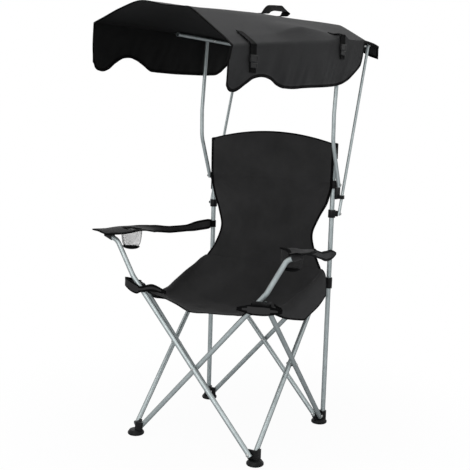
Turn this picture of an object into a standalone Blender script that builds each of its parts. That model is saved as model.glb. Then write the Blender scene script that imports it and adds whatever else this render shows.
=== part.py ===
"""Canopy folding chair: a quad-fold steel frame with a cloth seat and a folding sun canopy.

Metres, +Z up, the sitter faces -Y. All shapes are drawn about the middle of the four
feet, and an empty then moves them so that the origin is under the middle of the chair.
"""
import math

import bmesh
import bpy
from mathutils import Matrix, Vector

NAME = "canopy_folding_chair"

# Driving sizes of the frame
SPAN = 0.450            # between the upright lines of two neighbouring corners
CORNER_Z = 0.492        # height of the four upper pins
FOOT_PIN_Z = 0.030      # height of the four lower pin pairs
PIN_INSET = 0.018       # from a corner's upright line to a pin, along the tube's plane
TUBE_R = 0.008
TUBE_WALL = 0.0012
TUBE_GAP = 0.002        # between two tubes where they cross
TUBE_END = 0.008        # tube left past a pin
POST_TOP_Z = 0.954
GAP = 0.0003            # clearance between touching pieces
PIN_R = 0.0024
HEAD_R = 0.0046
HEAD_H = 0.0016
OVERRUN = 0.004         # how far a cutter runs past what it cuts
HEAD_SHARES = ((0.62, 0.12), (1.0, 0.6))   # of a domed head: radius, and depth from its top

# Moulded fittings
FIN = 0.0064            # thickness of a pivot fin
FIN_R = 0.0125          # half height of a fin about its pin
FIN_ROUND = 0.0022
FIN_SINK = 0.003        # how deep a foot's fins run down into its pad
FIN_REACH = 0.0085      # fin left past its pin, along the tube's plane
PIN_DEPTH_SHARE = 0.6   # how far a rivet is set in its fin, as a share of the fin
PAD_R = 0.027
PAD_H = 0.007
PAD_SHOULDER_R = 0.021
PAD_SHOULDER_Z = 0.0150
SLEEVE_WALL = 0.0036
SOCKET_Z = 0.042        # top of a rear foot's post socket
SOCKET_FLOOR = 0.005
SLEEVE_HALF = 0.018     # half height of a slider's sleeve
CAP_H = 0.006
CAP_WALL = 0.0018
CAP_SKIRT = 0.020

# Arm ends of the two front tubes, in their own plane
ARM_BEND_Z = 0.528
ARM_RISE_X, ARM_RISE_Z = 0.303, 0.636
ARM_TIP_X, ARM_TIP_Z = 0.352, 0.655
ARM_BEND_R = 0.035

# Canopy linkage: Y behind the post's axis, and Z
MAIN_R = 0.0065
STRUT_R = 0.005
LINK_WALL = 0.0010
MAIN_OUT = 0.020        # main tube and strut, outward from the post's axis
ARM_IN = 0.0025         # canopy arm, inward from the post's axis
P1_BEHIND, P1_Z = 0.001, 0.826
P2_BEHIND, P2_Z = 0.014, 0.728
T1_BEHIND, T1_Z = -0.038, 1.300
T2_BEHIND, T2_Z = 0.196, 1.296
KNEE_BEHIND, MAIN_KNEE_Z = -0.058, 0.966
BACK_BEHIND, MAIN_BACK_Z = -0.061, 1.060
MAIN_BEND_R = 0.10
ARM_FRONT_BEHIND, CANOPY_ARM_FRONT_Z = -0.254, 1.303
CLAMP_WALL = 0.0040
CLAMP_HALF = 0.013
CLIP_Z = 0.783
CLIP_HALF = 0.006
CLIP_WALL = 0.0030
EAR_R = 0.0100
CLIP_MOUTH_SHARE = 0.6     # of the strut's radius, how far the clip reaches round it

# Cloth: tables run front to rear (Y) or bottom to top (Z). Crest and skirt are given outward from
# half the span, and the back's sides and middle outward from and behind the posts
CLOTH = 0.0016
SEAM_GAP = 0.0002
BACK_SEAM_GAP = 0.0006
SEAT_REAR_Y, SEAT_REAR_Z = 0.185, 0.545
SEAT_CENTRE = [(-0.2275, 0.448), (-0.15, 0.427), (-0.06, 0.409), (0.02, 0.41), (0.09, 0.445),
               (0.14, 0.492), (0.185, 0.545)]
CREST_OUT = [(-0.2275, -0.0278), (-0.205, -0.0274), (-0.18, -0.025), (-0.12, -0.014), (-0.06, -0.006),
             (0.02, 0.004), (0.1, 0.011), (0.16, 0.011), (0.185, 0.001)]
CREST_Z = [(-0.2275, 0.497), (-0.205, 0.497), (-0.18, 0.491), (-0.14, 0.472), (-0.1, 0.461),
           (-0.05, 0.466), (0.0, 0.484), (0.06, 0.502), (0.12, 0.519), (0.16, 0.534), (0.185, 0.545)]
SKIRT_OUT = [(-0.2275, -0.0277), (-0.205, -0.0272), (-0.18, -0.0215), (-0.15, 0.005), (-0.12, 0.02),
             (-0.08, 0.0235), (0.185, 0.0235)]
SKIRT_Z = [(-0.2275, 0.4955), (-0.205, 0.4955), (-0.18, 0.484), (-0.147, 0.451), (-0.1, 0.431),
           (-0.072, 0.424), (-0.02, 0.412), (0.027, 0.404), (0.05, 0.41), (0.128, 0.43), (0.185, 0.458)]
SEAT_REAR_ROWS = (0.168, 0.150, 0.125, 0.100, 0.075, 0.050, 0.025)
SEAT_FRONT_ROWS = (-0.030, -0.060, -0.090, -0.120, -0.150, -0.180, -0.205, -0.2275)
SEAT_SHARES = (0.0, 0.22, 0.44, 0.66, 0.85)
SEAT_HOLLOW_POWER = 2.4
SKIRT_BEND_SHARE = 0.35

BACK_ROWS = (0.955, 0.925, 0.880, 0.830, 0.790, 0.750, 0.710, 0.670, 0.630, 0.590, 0.5465)
BACK_SIDE_OUT = [(0.545, -0.008), (0.59, -0.034), (0.655, -0.053), (0.71, -0.036), (0.77, -0.008),
                 (0.83, 0.004), (0.955, 0.006)]
BACK_SIDE_IN = [(0.545, 0.0352), (0.590, 0.0242), (0.660, 0.0162), (0.760, 0.0)]
BACK_MID_BEHIND = [(0.545, -0.049), (0.6, -0.029), (0.68, -0.012), (0.8, -0.002), (0.955, -0.0094)]
BACK_SHARES = (-1, -0.8, -0.6, -0.4, -0.2, 0, 0.2, 0.4, 0.6, 0.8, 1)
BACK_ARCH = 0.034
POCKET_DEPTH = 0.040

# Armrest: its middle outward from the post, Y and twist, then its middle's height on each side
ARM_LINE = ((0.0091, 0.230, 90), (0.018, 0.170, 90), (0.028, 0.110, 90), (0.038, 0.050, 86),
            (0.047, 0.000, 70), (0.054, -0.040, 42), (0.06, -0.080, 16), (0.069, -0.120, 4),
            (0.076, -0.160, 0), (0.081, -0.200, 0), (0.081, -0.240, 0), (0.081, -0.275, 0))
LEFT_ARM_Z = [(-0.275, 0.669), (-0.225, 0.669), (-0.168, 0.666), (-0.1, 0.661), (-0.04, 0.6555),
              (0.03, 0.6475), (0.1, 0.646), (0.17, 0.65), (0.23, 0.652)]
RIGHT_ARM_Z = [(-0.275, 0.6695), (-0.225, 0.669), (-0.168, 0.6615), (-0.1, 0.65), (0.0, 0.63),
               (0.1, 0.606), (0.17, 0.594), (0.23, 0.59)]
ARM_HALF_W = [(-0.275, 0.053), (-0.24, 0.058), (-0.16, 0.058), (-0.1, 0.041), (-0.05, 0.017),
              (0.0, 0.012), (0.23, 0.012)]
ARM_INNER_W = [(-0.275, -0.003), (-0.24, 0.034), (-0.2, 0.058), (-0.16, 0.058), (-0.1, 0.041),
               (-0.05, 0.017), (0.0, 0.012), (0.23, 0.012)]
ARM_SHARES = (0.0, 0.25, 0.5, 0.75, 1.0)
STRAP_HALF_W = 0.012
CUP_OUT, CUP_Y = 0.062, -0.168
CUP_R = 0.034
CUP_LOW_R = 0.027
CUP_H = 0.055
CUP_WALL = 0.0010
CUP_RING_R = 0.0020
CUP_FLOOR_SHARE = 0.9

# Canopy cover: heights front to rear on the middle line of each fold; the roof hangs askew
CANOPY_ROWS = (-0.452, -0.440, -0.400, -0.340, -0.285, -0.225, -0.160, -0.100, -0.060, 0.000, 0.080,
               0.160, 0.210, 0.242, 0.300, 0.350, 0.378, 0.396, 0.420, 0.470, 0.520)
CANOPY_FRONT_Y, CANOPY_REAR_Y = -0.4984, 0.545
CANOPY_SIDE_END_Y = 0.420
CANOPY_SKEW_SHARES = [(-0.452, 0.1755), (0.520, 0.085)]
SEAM_OUT = 0.033           # seam, outward from the canopy arm
ROOF_SHARES = (-0.6695, -0.3024, 0.0432, 0.3888, 0.4838, 0.6695)   # of the way from the middle to an arm
ROOF_Z = (
    [(-0.4056, 1.304), (-0.0775, 1.309), (0.1765, 1.3085), (0.2225, 1.308), (0.4305, 1.3042),
     (0.5425, 1.301)],
    [(-0.4114, 1.3145), (-0.080, 1.3135), (-0.020, 1.3112), (0.196, 1.308), (0.430, 1.3042),
     (0.540, 1.3025)],
    [(-0.4248, 1.3395), (-0.060, 1.348), (0.430, 1.361), (0.530, 1.350)],
    [(-0.4397, 1.3555), (-0.200, 1.363), (0.150, 1.380), (0.430, 1.386), (0.525, 1.378)],
    [(-0.4538, 1.342), (-0.250, 1.355), (0.100, 1.374), (0.430, 1.382), (0.520, 1.383)],
    [(-0.4678, 1.332), (-0.430, 1.3345), (-0.105, 1.3515), (0.380, 1.374), (0.512, 1.377)],
    [(-0.4717, 1.3295), (-0.100, 1.3475), (0.380, 1.367), (0.510, 1.3725)],
    [(-0.4792, 1.304), (-0.200, 1.321), (-0.060, 1.332), (0.200, 1.343), (0.430, 1.350), (0.507, 1.3508)],
    [(-0.4926, 1.2524), (-0.220, 1.278), (-0.080, 1.3085), (-0.023, 1.3158), (0.040, 1.315), (0.100, 1.3135),
     (0.150, 1.3115), (0.196, 1.3092), (0.250, 1.309), (0.430, 1.3065), (0.500, 1.309)],
    [(-0.4986, 1.2263), (-0.393, 1.237), (-0.274, 1.249), (-0.112, 1.2634), (0.022, 1.2753), (0.100, 1.283),
     (0.148, 1.293), (0.180, 1.3088), (0.214, 1.3088), (0.240, 1.301), (0.310, 1.3035), (0.370, 1.308),
     (0.450, 1.3045), (0.4975, 1.2985)],
)
REAR_DROP = 0.045
REAR_SHARES = (0.5, 1.0)
# The lower edge of each side, front to rear, and the least that a side hangs down
LEFT_HEM = [(-0.4056, 1.19), (-0.397, 1.172), (-0.383, 1.167), (-0.364, 1.165), (-0.336, 1.172),
            (-0.298, 1.194), (-0.259, 1.21), (-0.229, 1.213), (-0.198, 1.207), (-0.15, 1.188),
            (-0.112, 1.176), (-0.01, 1.175), (0.109, 1.177), (0.258, 1.183), (0.305, 1.196),
            (0.332, 1.21), (0.37, 1.234), (0.4, 1.262), (0.42, 1.3)]
RIGHT_HEM = [(-0.4986, 1.118), (-0.494, 1.11), (-0.482, 1.108), (-0.469, 1.111), (-0.424, 1.13),
             (-0.382, 1.147), (-0.333, 1.153), (-0.287, 1.149), (-0.251, 1.136), (-0.208, 1.127),
             (-0.165, 1.127), (-0.068, 1.133), (0.087, 1.142), (0.154, 1.148), (0.223, 1.163),
             (0.286, 1.189), (0.341, 1.221), (0.355, 1.249), (0.37, 1.298)]
LEAST_HANG = 0.008
VALANCE_SHARES = (0.0, 0.35, 0.7, 1.0)

WEBBING = 0.0018
WEBBING_W = 0.032
WEBBING_LIFT = 0.0030      # middle of a strap above the middle of the cloth it lies on
CLOSER_FRONT_Y, CLOSER_REAR_Y = -0.349, 0.212
CLOSER_TOP_SHARE = 0.78
FRONT_LIFT_SHARE, REAR_LIFT_SHARE = 1.3, 1.02
CLOSER_DROP = 0.075
CLOSER_OUT = 0.0050
BUCKLE = (0.0036, 0.014, 0.013)
BUCKLE_ROUND = 0.0010
BUCKLE_DROP = 0.034
# Carrying loop along the ridge: Y, and height over the roof
HANDLE_LINE = ((0.098, 0.0032), (0.114, 0.0032), (0.127, 0.0052), (0.148, 0.020), (0.170, 0.0315),
               (0.200, 0.0345), (0.250, 0.0355), (0.281, 0.0335), (0.289, 0.025), (0.281, 0.014),
               (0.268, 0.0060), (0.254, 0.0034), (0.238, 0.0032))
HANDLE_STEPS = 3

# Round shapes
TUBE_SIDES = 12
PIN_SIDES = 8
ROUND_SIDES = 20

# Worked out from the sizes above
HALF = SPAN / 2
OUTER = HALF + TUBE_R + TUBE_GAP / 2
INNER = HALF - TUBE_R - TUBE_GAP / 2
PIN = HALF - PIN_INSET
POST = OUTER
CROSS_Z = (CORNER_Z + FOOT_PIN_Z) / 2
MAIN_X = POST + MAIN_OUT
CANOPY_ARM_X = POST - ARM_IN
P1_Y, P2_Y = POST + P1_BEHIND, POST + P2_BEHIND
T1_Y, T2_Y = POST + T1_BEHIND, POST + T2_BEHIND
MAIN_KNEE_Y, MAIN_BACK_Y = POST + KNEE_BEHIND, POST + BACK_BEHIND
CANOPY_ARM_FRONT_Y = POST + ARM_FRONT_BEHIND
FRAME_Y = -(CANOPY_FRONT_Y + CANOPY_REAR_Y) / 2
SEAM_X = CANOPY_ARM_X + SEAM_OUT
ROOF_X = (-SEAM_X, -CANOPY_ARM_X, *(CANOPY_ARM_X * share for share in ROOF_SHARES), CANOPY_ARM_X, SEAM_X)


# Scene and materials

def empty_the_scene():
    for obj in list(bpy.data.objects):
        bpy.data.objects.remove(obj, do_unlink=True)


def collection(name):
    group = bpy.data.collections.new(name)
    bpy.context.scene.collection.children.link(group)
    return group


def material(name, colour, metallic, roughness):
    mat = bpy.data.materials.new(name)
    mat.use_nodes = True
    shader = mat.node_tree.nodes["Principled BSDF"]
    shader.inputs["Base Color"].default_value = (*colour, 1.0)
    shader.inputs["Metallic"].default_value = metallic
    shader.inputs["Roughness"].default_value = roughness
    return mat


empty_the_scene()
PARTS = collection(NAME)
CUTTERS = collection("cutters")
LOOKS = {
    "enamel": ((0.36, 0.41, 0.41), 0.35, 0.38),
    "plastic": ((0.012, 0.012, 0.012), 0.0, 0.42),
    "steel": ((0.62, 0.62, 0.60), 1.0, 0.30),
    "cloth": ((0.022, 0.022, 0.022), 0.0, 0.85),
    "roof_cloth": ((0.060, 0.060, 0.060), 0.0, 0.80),
    "webbing": ((0.008, 0.008, 0.008), 0.0, 0.70),
    "mesh_cloth": ((0.02, 0.02, 0.02), 0.0, 0.80),
}
ORIGIN = bpy.data.objects.new("chair_origin", None)
ORIGIN.location = (0, FRAME_Y, 0)
PARTS.objects.link(ORIGIN)
BODIES = {}


def body(name, pivot=(0, 0, 0)):
    """An empty on a moving body's joint axis, which carries that body's pieces."""
    empty = bpy.data.objects.new(name + "_axis", None)
    empty.location = pivot
    empty.parent = ORIGIN
    empty.empty_display_size = TUBE_R
    PARTS.objects.link(empty)
    BODIES[name] = empty
    return empty


def carry(obj, body_name, look):
    """Gives a piece its body, its origin on that body's axis and its own material."""
    parent = BODIES[body_name]
    obj.data.transform(Matrix.Translation(-parent.location))
    obj.parent = parent
    obj.data.materials.clear()
    obj.data.materials.append(material(obj.name, *LOOKS[look]))
    PARTS.objects.link(obj)
    return obj


def guide(obj):
    """Keeps a cutter or a welded-on shape out of the model itself."""
    obj.parent = ORIGIN
    obj.hide_render = True
    obj.display_type = 'WIRE'
    CUTTERS.objects.link(obj)
    return obj


# Shapes

def mesh_object(name, bm, smooth=True):
    bmesh.ops.recalc_face_normals(bm, faces=bm.faces)
    mesh = bpy.data.meshes.new(name)
    bm.to_mesh(mesh)
    bm.free()
    if smooth:
        mesh.shade_smooth()
        mesh.set_sharp_from_angle(angle=math.radians(35))
    return bpy.data.objects.new(name, mesh)


def add_cylinder(bm, start, end, radius, sides, end_radius=None):
    start, end = Vector(start), Vector(end)
    turn = (end - start).to_track_quat('Z', 'Y').to_matrix().to_4x4()
    place = Matrix.Translation((start + end) / 2) @ turn
    bmesh.ops.create_cone(bm, cap_ends=True, segments=sides, radius1=radius,
                          radius2=radius if end_radius is None else end_radius,
                          depth=(end - start).length, matrix=place)


def cylinder(name, start, end, radius, sides=ROUND_SIDES, end_radius=None):
    bm = bmesh.new()
    add_cylinder(bm, start, end, radius, sides, end_radius)
    return mesh_object(name, bm)


def box(name, low, high, round_by=0.0):
    bm = bmesh.new()
    size = [abs(b - a) for a, b in zip(low, high)]
    middle = [(a + b) / 2 for a, b in zip(low, high)]
    bmesh.ops.create_cube(bm, size=1.0, matrix=Matrix.Translation(middle) @ Matrix.Diagonal((*size, 1)))
    if round_by:
        bmesh.ops.bevel(bm, geom=list(bm.edges), offset=round_by, segments=2, affect='EDGES',
                        profile=0.5)
    return mesh_object(name, bm, smooth=False)


def boolean(obj, other, operation):
    mod = obj.modifiers.new(operation.lower() + "_" + other.name, 'BOOLEAN')
    mod.operation = operation
    mod.solver = 'EXACT'
    mod.object = other


def weld(obj, *others):
    for other in others:
        boolean(obj, guide(other), 'UNION')
    return obj


def cut(obj, *others):
    for other in others:
        boolean(obj, other, 'DIFFERENCE')
    return obj


def rounded_path(points, radius, steps=4):
    """The corners of a bent tube's line, each turned into an arc of the bend radius."""
    points = [Vector(p) for p in points]
    path = [points[0]]
    for before, corner, after in zip(points, points[1:], points[2:]):
        a, b = (before - corner).normalized(), (after - corner).normalized()
        half = a.angle(b) / 2
        reach = min(radius / math.tan(half), 0.45 * min((before - corner).length, (after - corner).length))
        bend = reach * math.tan(half)
        centre = corner + (a + b).normalized() * bend / math.sin(half)
        first, last = corner + a * reach - centre, corner + b * reach - centre
        for step in range(steps + 1):
            path.append(centre + first.slerp(last, step / steps) * bend)
    path.append(points[-1])
    return path


def tube(name, path, radius, wall, sides=TUBE_SIDES):
    """A hollow tube along a line: an open bevelled curve, made a mesh and thickened inward."""
    curve = bpy.data.curves.new(name, 'CURVE')
    curve.dimensions = '3D'
    curve.bevel_depth = radius
    curve.bevel_resolution = sides // 2 - 2
    curve.use_fill_caps = False
    spline = curve.splines.new('POLY')
    spline.points.add(len(path) - 1)
    for point, place in zip(spline.points, path):
        point.co = (*place, 1)
    holder = bpy.data.objects.new(name + "_line", curve)
    bpy.context.scene.collection.objects.link(holder)
    bpy.context.view_layer.update()
    mesh = bpy.data.meshes.new_from_object(holder.evaluated_get(bpy.context.evaluated_depsgraph_get()))
    bpy.data.objects.remove(holder)
    mesh.name = name
    mesh.shade_smooth()
    mesh.set_sharp_from_angle(angle=math.radians(40))
    obj = bpy.data.objects.new(name, mesh)
    solid = obj.modifiers.new("wall", 'SOLIDIFY')
    solid.thickness = wall
    solid.offset = -1
    solid.use_even_offset = True
    return obj


def sheet(name, grids, thickness=CLOTH):
    """Cloth: grids of points that share their seams, thickened to both sides."""
    bm = bmesh.new()
    for rows in grids:
        verts = [[bm.verts.new(p) for p in row] for row in rows]
        for low, high in zip(verts, verts[1:]):
            for a, b, c, d in zip(low, low[1:], high[1:], high):
                bm.faces.new((a, b, c, d))
    bmesh.ops.remove_doubles(bm, verts=bm.verts, dist=GAP / 3)
    obj = mesh_object(name, bm)
    solid = obj.modifiers.new("cloth", 'SOLIDIFY')
    solid.thickness = thickness
    solid.offset = 0
    solid.use_even_offset = True
    return obj


def blend(values, at):
    """Smooth curve through a table of (place, value) pairs, which never runs past them."""
    if at <= values[0][0]:
        return values[0][1]
    slopes = [(y1 - y0) / (x1 - x0) for (x0, y0), (x1, y1) in zip(values, values[1:])]
    leans = [slopes[0]]
    for a, b in zip(slopes, slopes[1:]):
        leans.append(2 * a * b / (a + b) if a * b > 0 else 0)
    leans.append(slopes[-1])
    for (x0, y0), (x1, y1), lean0, lean1 in zip(values, values[1:], leans, leans[1:]):
        if at <= x1:
            wide = x1 - x0
            t = (at - x0) / wide
            return (y0 * (1 + 2 * t) * (1 - t) ** 2 + lean0 * wide * t * (1 - t) ** 2
                    + y1 * t * t * (3 - 2 * t) + lean1 * wide * t * t * (t - 1))
    return values[-1][1]


def through(points, steps):
    """Catmull-Rom line through the points, steps pieces between two of them."""
    points = [Vector(p) for p in points]
    ends = [2 * points[0] - points[1], *points, 2 * points[-1] - points[-2]]
    line = []
    for a, b, c, d in zip(ends, ends[1:], ends[2:], ends[3:]):
        for step in range(steps):
            t = step / steps
            line.append(0.5 * (2 * b + (c - a) * t + (2 * a - 5 * b + 4 * c - d) * t * t
                               + (3 * b - a - 3 * c + d) * t ** 3))
    line.append(points[-1])
    return line


# Frame: feet, posts, the eight crossing tubes and what they are pinned to

def plane_of(tube_is_outer):
    return OUTER if tube_is_outer else INNER


def fin_span(tube_is_outer, outside):
    """Near and far face of a fin beside a tube, measured outward from the chair's middle."""
    side = 1 if outside else -1
    near = plane_of(tube_is_outer) + side * (TUBE_R + GAP)
    return sorted((near, near + side * FIN))


# For each corner: X and Y sign, then for the tube in the side plane and for the one in the
# front or back plane whether it is the outer one of its pair and its fin stands outside it.
FEET = {
    "front_left_foot": (-1, -1, (True, False), (False, True)),
    "front_right_foot": (1, -1, (False, True), (True, False)),
    "rear_left_foot": (-1, 1, (False, True), (True, False)),
    "rear_right_foot": (1, 1, (True, False), (False, True)),
}
TOPS = {
    "front_left_corner": (-1, -1, (False, True), (True, False)),
    "front_right_corner": (1, -1, (True, True), (False, True)),
    "left_slider": (-1, 1, (True, False), (False, True)),
    "right_slider": (1, 1, (False, True), (True, False)),
}


def pin_bore(name, sx, sy, z, side_plane, kind):
    """Cutter for one pivot's hole through its tube."""
    plane = plane_of(kind[0])
    ends = [(sx * at, sy * PIN, z) if side_plane else (sx * PIN, sy * at, z)
            for at in (plane - TUBE_R - OVERRUN, plane + TUBE_R + OVERRUN)]
    return guide(cylinder(name, *ends, PIN_R + GAP, PIN_SIDES))


def pin(name, sx, sy, z, side_plane, kind):
    """One pivot's rivet: a domed head outside the tube and a shaft set in the fin."""
    tube_is_outer, outside = kind
    side = 1 if outside else -1
    plane = plane_of(tube_is_outer)
    under_head = plane - side * (TUBE_R + GAP)
    stops = (under_head - side * HEAD_H, under_head, plane + side * (TUBE_R + FIN * PIN_DEPTH_SHARE))
    return rivet(name, *[(sx * at, sy * PIN, z) if side_plane else (sx * PIN, sy * at, z) for at in stops])


def rivet(name, top, under_head, end):
    top, under_head, end = Vector(top), Vector(under_head), Vector(end)
    lift, length = (top - under_head).length, (end - top).length
    dome = [(HEAD_R * across, lift * down) for across, down in HEAD_SHARES]
    bm = bmesh.new()
    add_turned(bm, top, [(0, 0), *dome, (HEAD_R, lift), (PIN_R, lift), (PIN_R, length), (0, length)],
               (end - top).normalized(), PIN_SIDES)
    return mesh_object(name, bm)


def shouldered_rivet(name, head, collar, tail, collar_r):
    """A rivet with two heads and a collar between what it joins; places are under the heads."""
    head, tail = Vector(head), Vector(tail)
    axis, length = (tail - head).normalized(), (tail - head).length
    near, far = [(Vector(place) - head).length + HEAD_H for place in collar]
    dome = [(HEAD_R * across, HEAD_H * down) for across, down in HEAD_SHARES]
    foot = [(radius, 2 * HEAD_H + length - down) for radius, down in reversed(dome)]
    bm = bmesh.new()
    add_turned(bm, head - axis * HEAD_H, [
        (0, 0), *dome, (HEAD_R, HEAD_H), (PIN_R, HEAD_H), (PIN_R, near), (collar_r, near),
        (collar_r, far), (PIN_R, far), (PIN_R, HEAD_H + length), (HEAD_R, HEAD_H + length), *foot,
        (0, 2 * HEAD_H + length)], axis, PIN_SIDES)
    return mesh_object(name, bm)


def add_turned(bm, start, profile, axis, sides):
    """A turned solid: (radius, distance along the axis) points spun round the axis."""
    turn = Vector(axis).to_track_quat('Z', 'Y').to_matrix()
    rings = []
    for radius, along in profile:
        if radius == 0:
            rings.append([bm.verts.new(Vector(start) + turn @ Vector((0, 0, along)))])
            continue
        ring = []
        for step in range(sides):
            angle = 2 * math.pi * step / sides
            ring.append(bm.verts.new(Vector(start) + turn @ Vector(
                (radius * math.cos(angle), radius * math.sin(angle), along))))
        rings.append(ring)
    for low, high in zip(rings, rings[1:]):
        for step in range(sides):
            nxt = (step + 1) % sides
            if len(low) == 1:
                bm.faces.new((low[0], high[nxt], high[step]))
            elif len(high) == 1:
                bm.faces.new((low[step], low[nxt], high[0]))
            else:
                bm.faces.new((low[step], low[nxt], high[nxt], high[step]))


def fins(name, kinds, low_z, high_z, to_post, round_by=0.0):
    """The two upright fins of a corner fitting, which meet in an L or at the post."""
    sx, sy, side_kind, end_kind = kinds
    x_low, x_high = fin_span(*side_kind)
    y_low, y_high = fin_span(*end_kind)
    tip = PIN - FIN_REACH
    x_end, y_end = (POST, POST) if to_post else (x_high, y_high)
    return (box(name + "_side_fin", (sx * x_low, sy * tip, low_z), (sx * x_high, sy * y_end, high_z),
                round_by),
            box(name + "_end_fin", (sx * tip, sy * y_low, low_z), (sx * x_end, sy * y_high, high_z),
                round_by))


def add_pivots(fitting, kinds, z):
    """Sets a fitting's two rivets in it, and gives the cutters for its two tubes."""
    sx, sy, side_kind, end_kind = kinds
    name = fitting.name
    weld(fitting, pin(name + "_side_pin", sx, sy, z, True, side_kind),
         pin(name + "_end_pin", sx, sy, z, False, end_kind))
    return (pin_bore(name + "_side_bore", sx, sy, z, True, side_kind),
            pin_bore(name + "_end_bore", sx, sy, z, False, end_kind))


def foot(name, body_name):
    """A flared plastic pad with two fins, and at the rear a socket for the post."""
    sx, sy = FEET[name][:2]
    centre = Vector((sx * HALF, sy * HALF, 0))
    bm = bmesh.new()
    add_turned(bm, centre, [(0, 0), (PAD_R - FIN_ROUND, 0), (PAD_R, FIN_ROUND), (PAD_R, PAD_H),
                            (PAD_SHOULDER_R, PAD_SHOULDER_Z), (0, PAD_SHOULDER_Z)], (0, 0, 1), ROUND_SIDES)
    pad = mesh_object(name, bm)
    rear = sy > 0
    raised = list(fins(name, FEET[name], PAD_SHOULDER_Z - FIN_SINK, FOOT_PIN_Z + FIN_R, rear))
    if rear:
        raised.append(cylinder(name + "_socket", (sx * POST, sy * POST, SOCKET_FLOOR / 2),
                               (sx * POST, sy * POST, SOCKET_Z), TUBE_R + GAP + SLEEVE_WALL))
    weld(pad, *raised)
    if rear:
        cut(pad, guide(cylinder(name + "_post_bore", (sx * POST, sy * POST, SOCKET_FLOOR),
                                (sx * POST, sy * POST, SOCKET_Z + OVERRUN), TUBE_R + GAP)))
    bores = add_pivots(pad, FEET[name], FOOT_PIN_Z)
    carry(pad, body_name, "plastic")
    return bores


def corner(name, body_name):
    """The L bracket that pins a front tube to a side tube."""
    side_fin, end_fin = fins(name, TOPS[name], CORNER_Z - FIN_R, CORNER_Z + FIN_R, False, FIN_ROUND)
    side_fin.name = name
    weld(side_fin, end_fin)
    bores = add_pivots(side_fin, TOPS[name], CORNER_Z)
    carry(side_fin, body_name, "plastic")
    return bores


def slider(name, body_name):
    """The sleeve that runs on a post and carries the upper ends of two tubes."""
    sx, sy = TOPS[name][:2]
    axis = (sx * POST, sy * POST)
    sleeve = cylinder(name, (*axis, CORNER_Z - SLEEVE_HALF), (*axis, CORNER_Z + SLEEVE_HALF),
                      TUBE_R + GAP + SLEEVE_WALL)
    weld(sleeve, *fins(name, TOPS[name], CORNER_Z - FIN_R, CORNER_Z + FIN_R, True))
    cut(sleeve, guide(cylinder(name + "_post_bore", (*axis, CORNER_Z - SLEEVE_HALF - OVERRUN),
                               (*axis, CORNER_Z + SLEEVE_HALF + OVERRUN), TUBE_R + GAP)))
    bores = add_pivots(sleeve, TOPS[name], CORNER_Z)
    carry(sleeve, body_name, "plastic")
    return bores


def cross_pin(name, side_plane, sign, body_name):
    """The rivet where two tubes cross, and the cutter for its hole through both of them."""
    def place(at):
        return (sign * at, 0, CROSS_Z) if side_plane else (0, sign * at, CROSS_Z)
    outer, inner = OUTER + TUBE_R + GAP, INNER - TUBE_R - GAP
    collar = (place(OUTER - TUBE_R - GAP), place(INNER + TUBE_R + GAP))
    carry(shouldered_rivet(name, place(outer), collar, place(inner), TUBE_R), body_name, "steel")
    return guide(cylinder(name + "_bore", place(outer + OVERRUN), place(inner - OVERRUN),
                          PIN_R + GAP, PIN_SIDES))


def along_tube(side_plane, plane, low, high):
    """Both ends of a crossing tube, past its pins."""
    def place(at, z):
        return Vector((plane, at, z)) if side_plane else Vector((at, plane, z))
    bottom, top = place(low, FOOT_PIN_Z), place(high, CORNER_Z)
    past = (top - bottom).normalized() * TUBE_END
    return [bottom - past, top + past]


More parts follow.
